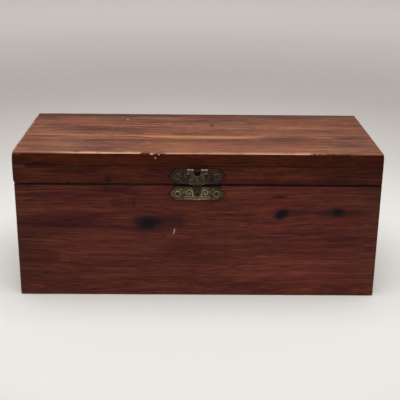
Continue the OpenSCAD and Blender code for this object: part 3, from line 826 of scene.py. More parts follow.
board("bottom_board", "case", m_bottom, lambda p: worn(0.9, p, 1.0), 0.10, lambda p: worn(0.7, p, 2.0), step=(4, 4, 2.5), seed=1.0)
board("front_board", "case", m_front, lambda p: worn(0.9, p, 3.0), lambda p: worn(0.28, p, 4.0), 0.10, step=(3, 3, 3),
      cuts=((CASE_LO[0] + WALL, CASE_HI[0] - WALL), (FRONT + LIP,), ()), keep=lambda cx, cy, cz: lapped(cx, cy, cz, CASE_LO[0], CASE_HI[0], False), seed=2.0)
board("back_board", "case", m_back, lambda p: worn(0.9, p, 5.0), lambda p: worn(0.28, p, 6.0), 0.10, step=(4, 3, 4),
      cuts=((CASE_LO[0] + WALL, CASE_HI[0] - WALL), (BACK - LIP,), ()), keep=lambda cx, cy, cz: lapped(cx, cy, cz, CASE_LO[0], CASE_HI[0], True), seed=3.0)
for side, mat, sd in (("left", m_left, 4.0), ("right", m_right, 5.0)):
    board(f"{side}_board", "case", mat, 0.12, lambda p: worn(0.28, p, 8.0), 0.10, step=(3, 4, 4), seed=sd, fine=((0.3, 0.3), (0.3, 0.3), (1, 1)))
board("lid_top_board", "lid", m_top, lambda p: worn(1.0, p, 12.0), lid_top_radius, lid_glue_radius, step=(1.6, 2.6, 2.5), seed=6.0, fine=((1.3, 1.3), (1.3, 1.3), (0.3, 1.3)),
      cuts=(tuple(np.arange(-36, -18.9, 0.45)) + tuple(np.arange(64.5, 90, 0.5)) + tuple(np.arange(-107.6, -101, 0.6)), (FRONT + 1.9, FRONT + 2.6), (H - 1.9, H - 2.6)), shape=chipped)
board("lid_front_rail", "lid", m_lid_front, lambda p: worn(0.9, p, 13.0), lid_glue_radius, lid_front_bottom, step=(2.2, 3, 2.2),
      cuts=((TOP_LO[0] + WALL, TOP_HI[0] - WALL), (FRONT + LIP,), ()), keep=lambda cx, cy, cz: lapped(cx, cy, cz, TOP_LO[0], TOP_HI[0], False), seed=7.0)
board("lid_back_rail", "lid", m_lid_back, lambda p: worn(0.9, p, 14.0), 0.10, lambda p: worn(0.28, p, 15.0), step=(4, 3, 3),
      cuts=((TOP_LO[0] + WALL, TOP_HI[0] - WALL), (BACK - LIP,), ()), keep=lambda cx, cy, cz: lapped(cx, cy, cz, TOP_LO[0], TOP_HI[0], True), seed=8.0)
for side, mat, sd in (("left", m_lid_left, 9.0), ("right", m_lid_right, 10.0)):
    board(f"lid_{side}_rail", "lid", mat, 0.12, 0.10, lambda p: worn(0.28, p, 16.0), step=(3, 4, 3), seed=sd, fine=((0.3, 0.3), (0.3, 0.3), (1, 1)))


# ------------------------------------------------------------------ sheet metal and turned metal
def dist_to_line(x, z, pts, closed=False):
    """Distance of each point from a polyline"""
    pts = np.asarray(pts, float)
    best = np.full(x.shape, 1e9)
    ends = np.roll(pts, -1, 0) if closed else pts[1:]
    for (ax, az), (bx, bz) in zip(pts, ends):
        dx, dz = bx - ax, bz - az
        t = np.clip(((x - ax) * dx + (z - az) * dz) / max(dx * dx + dz * dz, 1e-12), 0, 1)
        best = np.minimum(best, np.hypot(x - ax - t * dx, z - az - t * dz))
    return best


def outline_sdf(x, z, pts):
    """Signed distance from a closed outline, negative inside"""
    pts = np.asarray(pts, float)
    inside = np.zeros(x.shape, bool)
    for (ax, az), (bx, bz) in zip(pts, np.roll(pts, -1, 0)):
        if az != bz:
            inside ^= ((az > z) != (bz > z)) & (x < (bx - ax) * (z - az) / (bz - az) + ax)
    d = dist_to_line(x, z, pts, True)
    return np.where(inside, -d, d)


def sheet(lo, hi, step, sdf, height, sheet_back=0.0):
    """A closed shell over the part of a grid where sdf is negative. Its front is `height` in front of its back.
    Returns vertices (x, forward, z) and outward faces."""
    nx, nz = math.ceil((hi[0] - lo[0]) / step), math.ceil((hi[1] - lo[1]) / step)
    gx, gz = lo[0] + step * np.arange(nx + 1), lo[1] + step * np.arange(nz + 1)
    X, Z = np.meshgrid(gx, gz, indexing="ij")
    F = sdf(X, Z)
    F = np.where(np.abs(F) < 1e-5, -1e-5, F)
    inside = F < 0
    ids = -np.ones(F.shape, int)
    ids[inside] = np.arange(inside.sum())
    xy = [(float(a), float(b)) for a, b in zip(X[inside], Z[inside])]
    edge_ids = {}

    def crossing(i, j, axis):
        key = (i, j, axis)
        if key not in edge_ids:
            i2, j2 = (i + 1, j) if axis == 0 else (i, j + 1)
            t = F[i, j] / (F[i, j] - F[i2, j2])
            t = min(0.86, max(0.14, t))
            edge_ids[key] = len(xy)
            xy.append((float(X[i, j] + (X[i2, j2] - X[i, j]) * t), float(Z[i, j] + (Z[i2, j2] - Z[i, j]) * t)))
        return edge_ids[key]

    count = inside[:-1, :-1].astype(int) + inside[1:, :-1] + inside[1:, 1:] + inside[:-1, 1:]
    i, j = np.nonzero(count == 4)
    front = np.stack([ids[i, j], ids[i + 1, j], ids[i + 1, j + 1], ids[i, j + 1]], 1).tolist()
    rims = []
    for i, j in zip(*np.nonzero((count > 0) & (count < 4))):
        corners = ((i, j), (i + 1, j), (i + 1, j + 1), (i, j + 1))
        sides = ((i, j, 0), (i + 1, j, 1), (i, j + 1, 0), (i, j, 1))
        ring = []
        for c in range(4):
            a, b = corners[c], corners[(c + 1) % 4]
            if inside[a]:
                ring.append((ids[a], 0))
            if inside[a] != inside[b]:
                ring.append((crossing(*sides[c]), 1))
        n = len(ring)
        # two opposite corners inside: two separate corner pieces
        if n == 6:
            parts = []
            for s in range(6):
                if ring[s][1] == 0:
                    parts.append([ring[s - 1], ring[s], ring[(s + 1) % 6]])
        else:
            parts = [ring]
        for part in parts:
            front.append([v for v, _ in part])
            m = len(part)
            for s in range(m):
                if part[s][1] and part[(s + 1) % m][1]:
                    rims.append((part[s][0], part[(s + 1) % m][0]))
    P = np.array(xy)
    inner = np.maximum(-sdf(P[:, 0], P[:, 1]), 0.0)
    inner[inside.sum():] = 0.0
    t = height(P[:, 0], P[:, 1], inner)
    n = len(P)
    verts = np.concatenate([np.stack([P[:, 0], t, P[:, 1]], 1), np.stack([P[:, 0], np.full(n, sheet_back), P[:, 1]], 1)])
    faces = front + [[v + n for v in f[::-1]] for f in front] + [[b, a, a + n, b + n] for a, b in rims]
    return verts, faces


def bell(d, half):
    """A round bead's height, 1 in its middle and 0 from `half` away"""
    return np.sqrt(np.clip(1.0 - (d / half) ** 2, 0.0, 1.0))


def eased(d, r):
    """Goes from 0 at an edge to 1 at r inside it, as a rounded edge does"""
    t = np.clip(d / r, 0, 1)
    return np.sqrt(np.clip(1 - (1 - t) ** 2, 0, 1))


def spiral(cx, cz, r0, r1, a0, a1, n=30):
    """Points of a spiral about (cx, cz), angles in degrees"""
    return [(cx + (r0 + (r1 - r0) * i / n) * math.cos(math.radians(a0 + (a1 - a0) * i / n)),
             cz + (r0 + (r1 - r0) * i / n) * math.sin(math.radians(a0 + (a1 - a0) * i / n))) for i in range(n + 1)]


def raised(h, d, half, top, floor=0.0):
    """Adds a bead that reaches the height `top`"""
    b = bell(d, half)
    return np.where(b > 0, np.maximum(h, floor + (top - floor) * b), h)


def lathe(profile, around=40, twist=0.0, dents=0.0, seed=0.0):
    """Turns (along, radius) points about the first axis. Returns points (along, a, b) and faces."""
    verts, faces = [], []
    rows = []
    for along, r in profile:
        if r < 1e-6:
            rows.append([len(verts)])
            verts.append((along, 0.0, 0.0))
        else:
            rows.append(list(range(len(verts), len(verts) + around)))
            for i in range(around):
                a = 2 * math.pi * i / around + twist
                verts.append((along, r * math.cos(a), r * math.sin(a)))
    for p, q in zip(rows, rows[1:]):
        for i in range(around):
            k = (i + 1) % around
            if len(p) == 1 and len(q) == 1:
                continue
            if len(p) == 1:
                faces.append([p[0], q[k], q[i]])
            elif len(q) == 1:
                faces.append([p[i], p[k], q[0]])
            else:
                faces.append([p[i], p[k], q[k], q[i]])
    v = np.array(verts)
    if dents:
        v[:, 0] += dents * np.maximum(0, wobble(v, 0.8, seed))
    return v, faces


def joined(parts):
    """Several (vertices, faces) as one"""
    verts, faces, n = [], [], 0
    for v, f in parts:
        verts.append(np.asarray(v, float))
        faces += [[a + n for a in face] for face in f]
        n += len(v)
    return np.concatenate(verts), faces


def facing_out(obj):
    """Makes every closed shell's faces point outwards"""
    bm = bmesh.new()
    bm.from_mesh(obj.data)
    bmesh.ops.recalc_face_normals(bm, faces=bm.faces)
    bm.to_mesh(obj.data)
    bm.free()
    return obj


def extruded(ring, x0, x1, r=0.10, rows=3):
    """A (y, z) outline drawn along X between two places, its ends rounded by r. The outline is moved in along its
    own normals at the ends."""
    ring = np.asarray(ring, float)
    nxt, prv = np.roll(ring, -1, 0), np.roll(ring, 1, 0)
    tan = nxt - prv
    tan /= np.linalg.norm(tan, axis=1, keepdims=True)
    area = 0.5 * np.sum(ring[:, 0] * nxt[:, 1] - nxt[:, 0] * ring[:, 1])
    nrm = np.stack([-tan[:, 1], tan[:, 0]], 1) * (1 if area > 0 else -1)   # inwards
    stations = [(x0 + r * (1 - math.cos(math.pi / 2 * i / rows)), r * (1 - math.sin(math.pi / 2 * i / rows))) for i in range(rows + 1)]
    stations += [(x0 + x1 - s[0], s[1]) for s in stations[::-1]]
    n = len(ring)
    verts, faces = [], []
    for x, inset in stations:
        for k in range(n):
            p = ring[k] + nrm[k] * inset
            verts.append((x, p[0], p[1]))
    for s in range(len(stations) - 1):
        for k in range(n):
            a, b = s * n + k, s * n + (k + 1) % n
            faces.append([a, b, b + n, a + n])
    faces.append(list(range(n))[::-1])
    faces.append([len(verts) - n + k for k in range(n)])
    return np.array(verts), faces


def rolled_ring(cy, cz, r_out, r_in, a0, a1, tail_out, tail_in, n=26):
    """The (y, z) outline of sheet rolled round a pin: from angle a0 to a1 (degrees, from +y towards +z), then the
    flat tails that join it to the leaf, given as points on the outer and on the inner face"""
    outer = [(cy + r_out * math.cos(math.radians(a0 + (a1 - a0) * i / n)), cz + r_out * math.sin(math.radians(a0 + (a1 - a0) * i / n))) for i in range(n + 1)]
    inner = [(cy + r_in * math.cos(math.radians(a0 + (a1 - a0) * i / n)), cz + r_in * math.sin(math.radians(a0 + (a1 - a0) * i / n))) for i in range(n + 1)]
    return outer + list(tail_out) + list(tail_in) + inner[::-1]


# places and sizes of the fittings, partly from their nodes and partly given as numbers
STRIKE_LO, STRIKE_HI = mm_box("strike_plate")
PLATE_LO, PLATE_HI = mm_box("clasp_plate")
NAIL_LO, NAIL_HI = mm_box("strike_nails")
LNAIL_LO, LNAIL_HI = mm_box("clasp_nails")
PIN_LO, PIN_HI = mm_box("clasp_pin")
CX = (STRIKE_LO[0] + STRIKE_HI[0]) / 2
HALF_W = (STRIKE_HI[0] - STRIKE_LO[0]) / 2
PLATE_T = 0.65
STRIKE_MID, CLASP_MID = (NAIL_LO[2] + NAIL_HI[2]) / 2, (LNAIL_LO[2] + LNAIL_HI[2]) / 2
PIN_Y, PIN_Z, PIN_R = (PIN_LO[1] + PIN_HI[1]) / 2, (PIN_LO[2] + PIN_HI[2]) / 2, (PIN_HI[2] - PIN_LO[2]) / 2
NAIL_DX, NAIL_HEAD = 11.5, 0.95
STUD_DZ = SEAM - 5.3 - STRIKE_MID
HASP_OFF, HASP_T, HASP_BACK = math.radians(4.0), 0.70, FRONT - 0.87 - PIN_Y
KNUCKLE_R, OUTER_KN, INNER_KN = 1.15, (4.1, 6.0), (2.1, 3.95)


def plate_outline(out, near_):
    """A clasp plate about its middle, +z away from the seam"""
    w = HALF_W
    return [(-w, 0), (-w + 0.5, -0.9), (-12.3, -near_), (12.3, -near_), (w - 0.5, -0.9), (w, 0), (w - 0.5, 0.9), (12.4, out), (-12.4, out), (-w + 0.5, 0.9)]


def plate_sdf(out, near_, flip=1.0, dip=None):
    pts = plate_outline(out, near_)

    def f(x, z):
        z = z * flip
        d = outline_sdf(x, z, pts)
        for sx in (-1, 1):
            for zz in (out * 0.62, -near_ * 0.62):
                d = np.maximum(d, 0.75 - np.hypot(x - sx * 14.75, z - zz))
        # small nicks that break the long edges up, as stamping leaves them
        a = np.abs(x)
        for at in (8.8,):
            for zz in (out + 0.35, -near_ - 0.35):
                d = np.maximum(d, 0.62 - np.hypot(a - at, z - zz))
        if dip:
            cz, rx, rz = dip
            k = np.hypot(x / rx, (z - cz) / rz)
            d = np.maximum(d, (1 - k) * min(rx, rz))
        return d

    return f


def end_fields(h, x, z, tip):
    """What both plates carry at each end: a ringed nail hole, a bead at the point and leaves at the shoulders"""
    a = np.abs(x)
    r = np.hypot(a - NAIL_DX, z)
    h = np.where(r < 2.35, np.minimum(h, 0.33), h)
    h = np.where(r < 1.35, 0.40 - 0.10 * bell(r, 1.35), h)
    h = raised(h, r - 1.6, 0.36, 0.90, 0.42)
    h = raised(h, np.hypot(a - 14.35, z), 0.55, 0.63, 0.35)
    for s in (-1, 1):
        h = raised(h, dist_to_line(a, z * s, [(15.1, 0.75), (14.2, 1.25), (13.7, 1.9), (13.9, 2.5)]), 0.26, 0.60, 0.3)
        h = raised(h, dist_to_line(a, z * s, spiral(9.55, 2.45, 0.95, 0.35, -60, 250, 18)), 0.27, 0.62, 0.3)
        h = raised(h, dist_to_line(a, z * s, [(9.9, 1.65), (9.1, 0.9), (8.9, 0.0)]), 0.25, 0.58, 0.3)
        h = raised(h, dist_to_line(a, z * s, [(12.9, 2.1), (12.2, 2.75), (11.2, 2.9)]), 0.26, 0.58, 0.3)
    return h


def strike_height(x, z, inner):
    a = np.abs(x)
    h = np.full(x.shape, 0.34)
    h = h + 0.02 * np.sin(x * 9.0) * np.sin(z * 9.0 + x)
    h = raised(h, inner - 0.34, 0.26, 0.50, 0.34)
    h = end_fields(h, x, z, 0)
    # smooth raised field of the middle panel, then its volutes
    panel = np.clip((8.3 - a) / 0.5, 0, 1) * np.clip((z + 1.55) / 0.3, 0, 1) * np.clip((4.6 - z) / 0.3, 0, 1)
    h = np.where(panel > 0, np.maximum(h, 0.34 + 0.08 * panel), h)
    well = np.hypot(a, (z - STUD_DZ) * 1.0)
    h = np.where(well < 2.0, np.minimum(h, 0.16 + 0.1 * np.clip((well - 1.2) / 0.8, 0, 1)), h)
    stem = [(3.35, 4.3), (3.05, 3.0), (2.75, 1.2), (2.5, -0.4), (2.5, -1.5)]
    h = raised(h, dist_to_line(a, z, stem), 0.50, 0.65, 0.30)
    h = raised(h, dist_to_line(a, z, spiral(4.75, 0.75, 1.95, 0.75, 150, -190, 30)), 0.36, 0.65, 0.30)
    h = raised(h, np.hypot((a - 4.75) / 1.2, z - 0.7), 0.45, 0.62, 0.35)
    h = raised(h, dist_to_line(a, z, spiral(7.35, 1.1, 1.0, 0.4, 200, -120, 20)), 0.26, 0.60, 0.3)
    h = raised(h, dist_to_line(a, z, [(3.6, 3.4), (5.2, 3.75), (6.9, 3.3)]), 0.30, 0.58, 0.3)
    # mouldings along the bottom, with two bumps
    h = np.where((a < 7.9) & (z < -1.6), np.minimum(h, 0.20), h)
    h = raised(h, np.where(a < 7.9, z + 1.74, 9.0), 0.34, 0.66, 0.2)
    h = raised(h, np.where(a < 7.9, z + 2.98, 9.0), 0.38, 0.66, 0.2)
    h = raised(h, np.hypot((a - 1.3) / 1.2, z + 3.2), 0.55, 0.65, 0.45)
    return np.minimum(h, 0.93) * eased(inner + 0.05, 0.26)


def clasp_height(x, z, inner):
    a = np.abs(x)
    h = np.full(x.shape, 0.34)
    h = h + 0.02 * np.sin(x * 9.0) * np.sin(z * 9.0 + x)
    h = raised(h, inner - 0.34, 0.26, 0.50, 0.34)
    h = end_fields(h, x, z, 0)
    h = raised(h, dist_to_line(a, z, spiral(6.6, 0.5, 1.65, 0.5, 200, -160, 28)), 0.32, 0.62, 0.3)
    h = raised(h, np.hypot(a - 6.6, z - 0.5), 0.40, 0.60, 0.35)
    h = raised(h, dist_to_line(a, z, spiral(7.5, 3.0, 0.85, 0.3, 250, -30, 20)), 0.26, 0.60, 0.3)
    h = raised(h, dist_to_line(a, z, spiral(6.6, -2.4, 0.95, 0.3, 110, 400, 20)), 0.27, 0.60, 0.3)
    h = raised(h, np.where(a < 8.4, z + 3.95, 9.0), 0.28, 0.60, 0.25)
    return np.minimum(h, 0.93) * eased(inner + 0.05, 0.26)


HASP_OUTLINE = [(-3.95, -0.6), (-3.95, -3.2), (-4.9, -5.2), (-5.0, -7.6), (-4.3, -8.5), (-2.7, -8.9), (-2.3, -12.0), (-1.9, -14.9), (-1.1, -15.8)]
HASP_OUTLINE = HASP_OUTLINE + [(-x, z) for x, z in HASP_OUTLINE[::-1]]
HASP_HOLE = SEAM - 5.3 - PIN_Z


def hasp_sdf(x, z):
    d = outline_sdf(x, z, HASP_OUTLINE)
    # rounded corners
    d = np.maximum(d, outline_sdf(x, z, [(-5.4, -5.0), (-4.2, -2.6), (-4.2, 0.5), (4.2, 0.5), (4.2, -2.6), (5.4, -5.0), (5.4, -7.4), (4.6, -8.35), (2.9, -8.8), (3.0, -17), (-3.0, -17), (-2.9, -8.8), (-4.6, -8.35), (-5.4, -7.4)]))
    k = np.hypot(x / 2.15, (z + 0.4) / 2.85)
    d = np.maximum(d, (1 - k) * 2.15)
    return np.maximum(d, 1.25 - np.hypot(x, z - HASP_HOLE))


def hasp_height(x, z, inner):
    a = np.abs(x)
    h = np.full(x.shape, 0.44)
    body = np.clip((z + 8.9) / 0.4, 0, 1)
    rim = raised(h, inner - 0.38, 0.32, 0.66, 0.40)
    h = rim
    # volutes each side of a smooth boss, over a plain lower band
    h = raised(h, dist_to_line(a, z, spiral(3.15, -4.6, 1.30, 0.5, 60, -260, 30)), 0.34, 0.68, 0.34)
    h = raised(h, np.hypot(a - 3.15, z + 4.6), 0.36, 0.64, 0.4)
    h = raised(h, dist_to_line(a, z, [(3.5, -1.2), (3.0, -2.5), (2.1, -3.3), (0.9, -3.75)]), 0.26, 0.62, 0.38)
    boss = 1 - np.hypot(a / 1.75, (z + 5.7) / 1.75)
    h = np.maximum(h, 0.44 + 0.2 * np.sqrt(np.clip(boss, 0, 1)))
    low = np.clip((-6.9 - z) / 0.35, 0, 1) * body
    h = np.where(low > 0, np.maximum(h, 0.44 + 0.13 * low), h)
    # tongue: a shallow channel between raised edges, and a ring round the hole
    channel = np.clip((-9.3 - z) / 0.8, 0, 1) * np.clip((inner - 0.55) / 0.25, 0, 1)
    h = h - 0.07 * channel
    h = raised(h, np.hypot(x, z - HASP_HOLE) - 1.52, 0.30, 0.64, 0.40)
    return np.minimum(h, HASP_T) * eased(inner + 0.06, 0.26)


def turned_hasp(p):
    """From the hasp's own (x, y, z) about its pin to its place at rest"""
    c, s = math.cos(HASP_OFF), math.sin(-HASP_OFF)
    return np.stack([p[:, 0] + CX, PIN_Y + p[:, 1] * c - p[:, 2] * s, PIN_Z + p[:, 1] * s + p[:, 2] * c], 1)


def nail_profile(head_r, head_h, shank_r, length):
    """(along, radius) of a domed nail, its head's underside at 0"""
    dome = (head_r ** 2 + head_h ** 2) / (2 * head_h)
    a = math.asin(head_r / dome)
    pts = [(-head_h, 0.0)] + [(-head_h + dome * (1 - math.cos(a * t)), dome * math.sin(a * t)) for t in (0.2, 0.4, 0.6, 0.8, 0.93)]
    return pts + [(-0.04, head_r), (0.0, head_r - 0.05), (0.0, shank_r), (length - 2.2 * shank_r, shank_r), (length, 0.05 * shank_r), (length, 0.0)]


def nails(name, node, body, material, places, head_r, head_h, shank_r, length, towards, seed):
    """Nails whose shanks run towards +Y or -Y from each (x, y, z)"""
    parts = []
    for i, at in enumerate(places):
        v, f = lathe(nail_profile(head_r, head_h, shank_r, length), 32, 0.3 * i, 0.05, seed + i * 2.3)
        v = np.stack([v[:, 1] + at[0], v[:, 0] * towards + at[1], v[:, 2] + at[2]], 1)
        parts.append((v, f))
    v, f = joined(parts)
    lo, hi = mm_box(node)
    return facing_out(mesh_object(name, np.clip(v, lo, hi), f, body, (node,), material, 40.0))


def pin(name, node, body, material):
    lo, hi = mm_box(node)
    mid, r, l = (lo + hi) / 2, (hi[2] - lo[2]) / 2, hi[0] - lo[0]
    prof = [(-l / 2, 0), (-l / 2, 0.6 * r), (-l / 2 + 0.08 * r, 0.85 * r), (-l / 2 + 0.25 * r, r), (0, r), (l / 2 - 0.25 * r, r), (l / 2 - 0.08 * r, 0.85 * r), (l / 2, 0.6 * r), (l / 2, 0)]
    v, f = lathe(prof, 32)
    return facing_out(mesh_object(name, v + mid, f, body, (node,), material, 40.0))


def clasp_and_hinges():
    def front(p, z0):
        return np.stack([p[:, 0] + CX, FRONT - p[:, 1], p[:, 2] + z0], 1)

    step = 0.125
    up, down = STRIKE_HI[2] - STRIKE_MID, STRIKE_MID - STRIKE_LO[2]
    v, f = sheet((-HALF_W - 0.2, -down - 0.2), (HALF_W + 0.2, up + 0.2), step, plate_sdf(down, up, -1.0), strike_height)
    stud, sf = lathe([(0.1, 0.0), (0.1, 0.92), (0.55, 0.95), (1.25, 0.93), (1.40, 0.84), (1.47, 0.6), (1.5, 0.25), (1.5, 0.0)], 36, 0.0, 0.0)
    stud = np.stack([stud[:, 1], stud[:, 0], stud[:, 2] + STUD_DZ], 1)
    v, f = joined([(v, f), (stud, sf)])
    strike = facing_out(mesh_object("strike_plate_stamped", front(v, STRIKE_MID), f, "case", ("strike_plate",), m_strike, 45.0))

    lo_, out = CLASP_MID - PLATE_LO[2], 4.6
    v, f = sheet((-HALF_W - 0.2, -lo_ - 0.2), (HALF_W + 0.2, out + 0.2), step, plate_sdf(out, lo_, 1.0, (PIN_Z - CLASP_MID + 0.4, OUTER_KN[0] + 0.15, (OUTER_KN[0] + 0.15) * 1.3)), clasp_height)
    parts = [(front(v, CLASP_MID), f)]
    ring = rolled_ring(0, 0, KNUCKLE_R, 0.64, 262, 0, [(1.14, -0.9), (1.35, -1.7), (1.60, -2.3), (1.60, -2.6)], [(1.02, -2.6), (0.86, -1.9), (0.66, -1.1)])
    for s in (-1, 1):
        x0, x1 = sorted((s * OUTER_KN[0], s * OUTER_KN[1]))
        kv, kf = extruded(ring, x0, x1, 0.10)
        parts.append((kv + np.array([CX, PIN_Y, PIN_Z]), kf))
    v, f = joined(parts)
    facing_out(mesh_object("clasp_plate_stamped", v, f, "lid", ("clasp_plate",), m_clasp, 45.0))

    v, f = sheet((-5.2, -16.0), (5.2, -0.4), step * 0.9, hasp_sdf, hasp_height)
    v = np.stack([v[:, 0], HASP_BACK - v[:, 1], v[:, 2]], 1)
    parts = [(turned_hasp(v), f)]
    ring = rolled_ring(0, 0, KNUCKLE_R, 0.64, 240, 0, [(1.12, -0.5), (0.90, -1.2), (0.77, -1.9), (0.77, -2.4)], [(0.16, -2.4), (0.22, -1.8), (0.50, -1.0)])
    for s in (-1, 1):
        x0, x1 = sorted((s * INNER_KN[0], s * INNER_KN[1]))
        kv, kf = extruded(ring, x0, x1, 0.10)
        parts.append((turned_hasp(kv), kf))
    v, f = joined(parts)
    facing_out(mesh_object("hasp_stamped", v, f, "hasp", ("hasp",), m_hasp, 45.0))

    for node, body, z in (("strike_nails", "case", STRIKE_MID), ("clasp_nails", "lid", CLASP_MID)):
        nails(node + "_domed", node, body, m_clasp_nail, [(CX + s * NAIL_DX, FRONT - PLATE_T, z) for s in (-1, 1)], NAIL_HEAD, 0.35, 0.45, 5.2, 1.0, 3.0 if body == "case" else 9.0)
    pin("clasp_pin_turned", "clasp_pin", "lid", m_clasp_pin)

    # hinges
    hinge_z = (SEAM + LID_Z) / 2
    for side in ("left", "right"):
        lo, hi = mm_box(f"{side}_hinge_pin")
        mid = (lo + hi) / 2
        L = (hi[0] - lo[0]) / 2
        k = (2 * L - 0.24) / 3
        for up, part, body in ((1, "lid_leaf", "lid"), (-1, "case_leaf", "case")):
            node = f"{side}_hinge_{part}"
            if up > 0:
                pts = [(-L, 0.2), (-L + k, 0.2), (-L + k, 1.85), (L - k, 1.85), (L - k, 0.2), (L, 0.2), (L, 8.2), (L - 0.8, 9.0), (-L + 0.8, 9.0), (-L, 8.2)]
                spans = ((-L, -L + k), (L - k, L))
            else:
                pts = [(-L, 1.85), (-k / 2, 1.85), (-k / 2, 0.2), (k / 2, 0.2), (k / 2, 1.85), (L, 1.85), (L, 8.2), (L - 0.8, 9.0), (-L + 0.8, 9.0), (-L, 8.2)]
                spans = ((-k / 2, k / 2),)

            def sdf(x, z):
                return outline_sdf(x, z * up, pts)

            def height(x, z, inner):
                r = np.hypot(np.abs(x) - 8.5, z * up - 5.9)
                h = 0.79 - 0.16 * np.clip((2.1 - r) / 0.8, 0, 1) + 0.012 * np.sin(x * 1.3) * np.sin(z * 1.7 + x)
                return np.minimum(h, 0.8) * eased(inner + 0.08, 0.30)

            hs = 0.25
            z0, z1 = (0.0, 9.2) if up > 0 else (-9.2, 0.0)
            v, f = sheet((-L - 0.3, z0), (L + 0.3, z1), hs, sdf, height)
            v = np.stack([mid[0] - v[:, 0], BACK + v[:, 1], mid[2] + v[:, 2]], 1)
            parts = [(v, f)]
            ring = rolled_ring(0, 0, 1.594, 0.82, 475, 180, [(-1.62, 0.7), (-1.62, 1.5)], [(-0.89, 1.5), (-0.86, 0.7)], 34)
            ring = [(a, b * up) for a, b in ring]
            for x0, x1 in spans:
                kv, kf = extruded(ring, x0, x1, 0.12)
                parts.append((kv + mid, kf))
            v, f = joined(parts)
            facing_out(mesh_object(node + "_rolled", v, f, body, (node,), m_hinge, 45.0))
        pin(f"{side}_hinge_pin_turned", f"{side}_hinge_pin", "case", m_hinge_nail)
    for node, body, up in (("case_hinge_nails", "case", -1), ("lid_hinge_nails", "lid", 1)):
        places = []
        for side in ("left", "right"):
            lo, hi = mm_box(f"{side}_hinge_pin")
            places += [((lo[0] + hi[0]) / 2 + s * 8.5, BACK + 0.8, (lo[2] + hi[2]) / 2 + up * 5.9) for s in (-1, 1)]
        nails(node + "_domed", node, body, m_hinge_nail, places, 1.35, 0.5, 0.55, 5.2, -1.0, 5.0 if up > 0 else 14.0)


# ------------------------------------------------------------------ brass
def aged_brass(name, relief, bright, patina, wear=0.5, seed=0.0, low=0.40, high=0.62, dust=(0.30, 0.24, 0.18), shine=0.34, knuckle_highlight_stud_shade=None, shade_and_tone=None):
    """Stamped brass gone dull: a dark film in the hollows and rubbed metal on the high places.
    relief(g) gives the height of a point over the plate's back, in millimetres; the function given last says where the
    colour is darkened, by painted shade and by a darker tone of the metal."""
    g = Graph(name)
    x, y, z = g.x, g.y, g.z
    cloud = g.noise(x * 0.22 + seed, y * 0.22, z * 0.22, 3.0, 0.6)
    fine = g.noise(x * 1.6, y * 1.6, z * 1.6 + seed, 3.0, 0.65)
    speck = g.noise(x * 5.5, y * 5.5, z * 5.5 + seed, 2.0, 0.7)
    h = relief(g) if relief else None
    if h is not None:
        top = g.step(h + (fine - 0.5) * 0.10 + (cloud - 0.5) * 0.10, low, high)
    else:
        top = g.step(fine * 0.6 + cloud * 0.4, 0.30, 0.62)
    rub = g.clamp(top * (g.step(cloud, 0.28, 0.66) * 0.55 + 0.45) * (2.0 * wear))
    film = g.mix(g.step(cloud, 0.35, 0.62), patina, tuple(c * m for c, m in zip(patina, (1.25, 0.95, 0.75))))
    film = g.mix(g.step(fine, 0.55, 0.75) * 0.4, film, dust)
    metal = g.mix(g.step(speck, 0.40, 0.70) * 0.5, bright, tuple(c * 0.72 for c in bright))
    rough = (rub * -0.26) + (shine + 0.22) + (speck - 0.5) * 0.12
    if knuckle_highlight_stud_shade:
        # what stands in front of the stamped sheet: knuckles, worn smooth, or the stud, painted dark as shade
        at, colour, gloss = knuckle_highlight_stud_shade
        past = g.step(h, at, at + 0.12)
        # painted highlight: a knuckle is bright only along its top, where the overhead light catches it
        colour = g.mix(g.step(z, PIN_Z + 0.38, PIN_Z + 0.62) * g.step(z, PIN_Z + 1.6, PIN_Z + 1.3), colour, (0.23, 0.21, 0.20)) if gloss < 0.4 else colour
        rub = rub * (1.0 - past * 0.6)
        rough = rough * (1.0 - past) + past * ((speck - 0.5) * 0.06 + gloss)
        metal = g.mix(past, metal, colour)
        film = g.mix(past, film, g.multiply(1.0, colour, (0.5, 0.5, 0.5)) if gloss < 0.4 else tuple(c * 0.5 for c in colour))
    col = g.mix(rub, film, metal)
    if shade_and_tone:
        # painted shade, and darker tone of the metal
        black = shade_and_tone(g)
        col = g.multiply(black, col, (0.22, 0.17, 0.13))
        rub, rough = rub * (1.0 - black * 0.6), rough + black * 0.15
    g.put(g.bsdf.inputs["Base Color"], col)
    g.put(g.bsdf.inputs["Metallic"], rub * 0.35 + 0.62)
    g.put(g.bsdf.inputs["Roughness"], rough)
    g.bsdf.inputs["Specular IOR Level"].default_value = 0.4
    g.bump(fine * 0.03 + speck * 0.015, 1.0, 0.6)
    return g.mat


def on_plate(g):
    return g.math("SUBTRACT", FRONT, g.y)


def on_hasp(g):
    c, s = math.cos(HASP_OFF), math.sin(HASP_OFF)
    return HASP_BACK - ((g.y - PIN_Y) * c - (g.z - PIN_Z) * s)


def on_hinge(g):
    return g.y - BACK


def strike_shade_and_dulling(g):
    """Painted shadow along the strike plate's top, where the lid's plate overhangs it, and the plate duller to the
    right
    """
    n = (g.noise(g.x * 0.5, g.z * 0.6, 3.0, 2.0) - 0.5) * 0.9
    # painted shadow cast by the lid's plate
    top = g.step(g.z + n * 0.4, SEAM - 1.9, SEAM - 1.2) * 0.8
    right = g.step(g.x + n, 3.0, 10.0) * 0.52
    return g.max(top, right)


def hasp_shade_and_brown_tongue(g):
    """Painted shade on the hasp where it crosses the gap between the plates, and the hasp browner down its tongue"""
    n = (g.noise(g.x * 0.6, g.z * 0.7, 8.0, 2.0) - 0.5) * 0.8
    # painted shade across the gap between the plates
    gap = g.step(g.abs(g.z - 71.1 + n * 0.4), 1.5, 0.8) * 0.85
    tongue = g.step(g.z + n, 71.0, 69.6) * 0.5
    return g.max(gap, tongue)


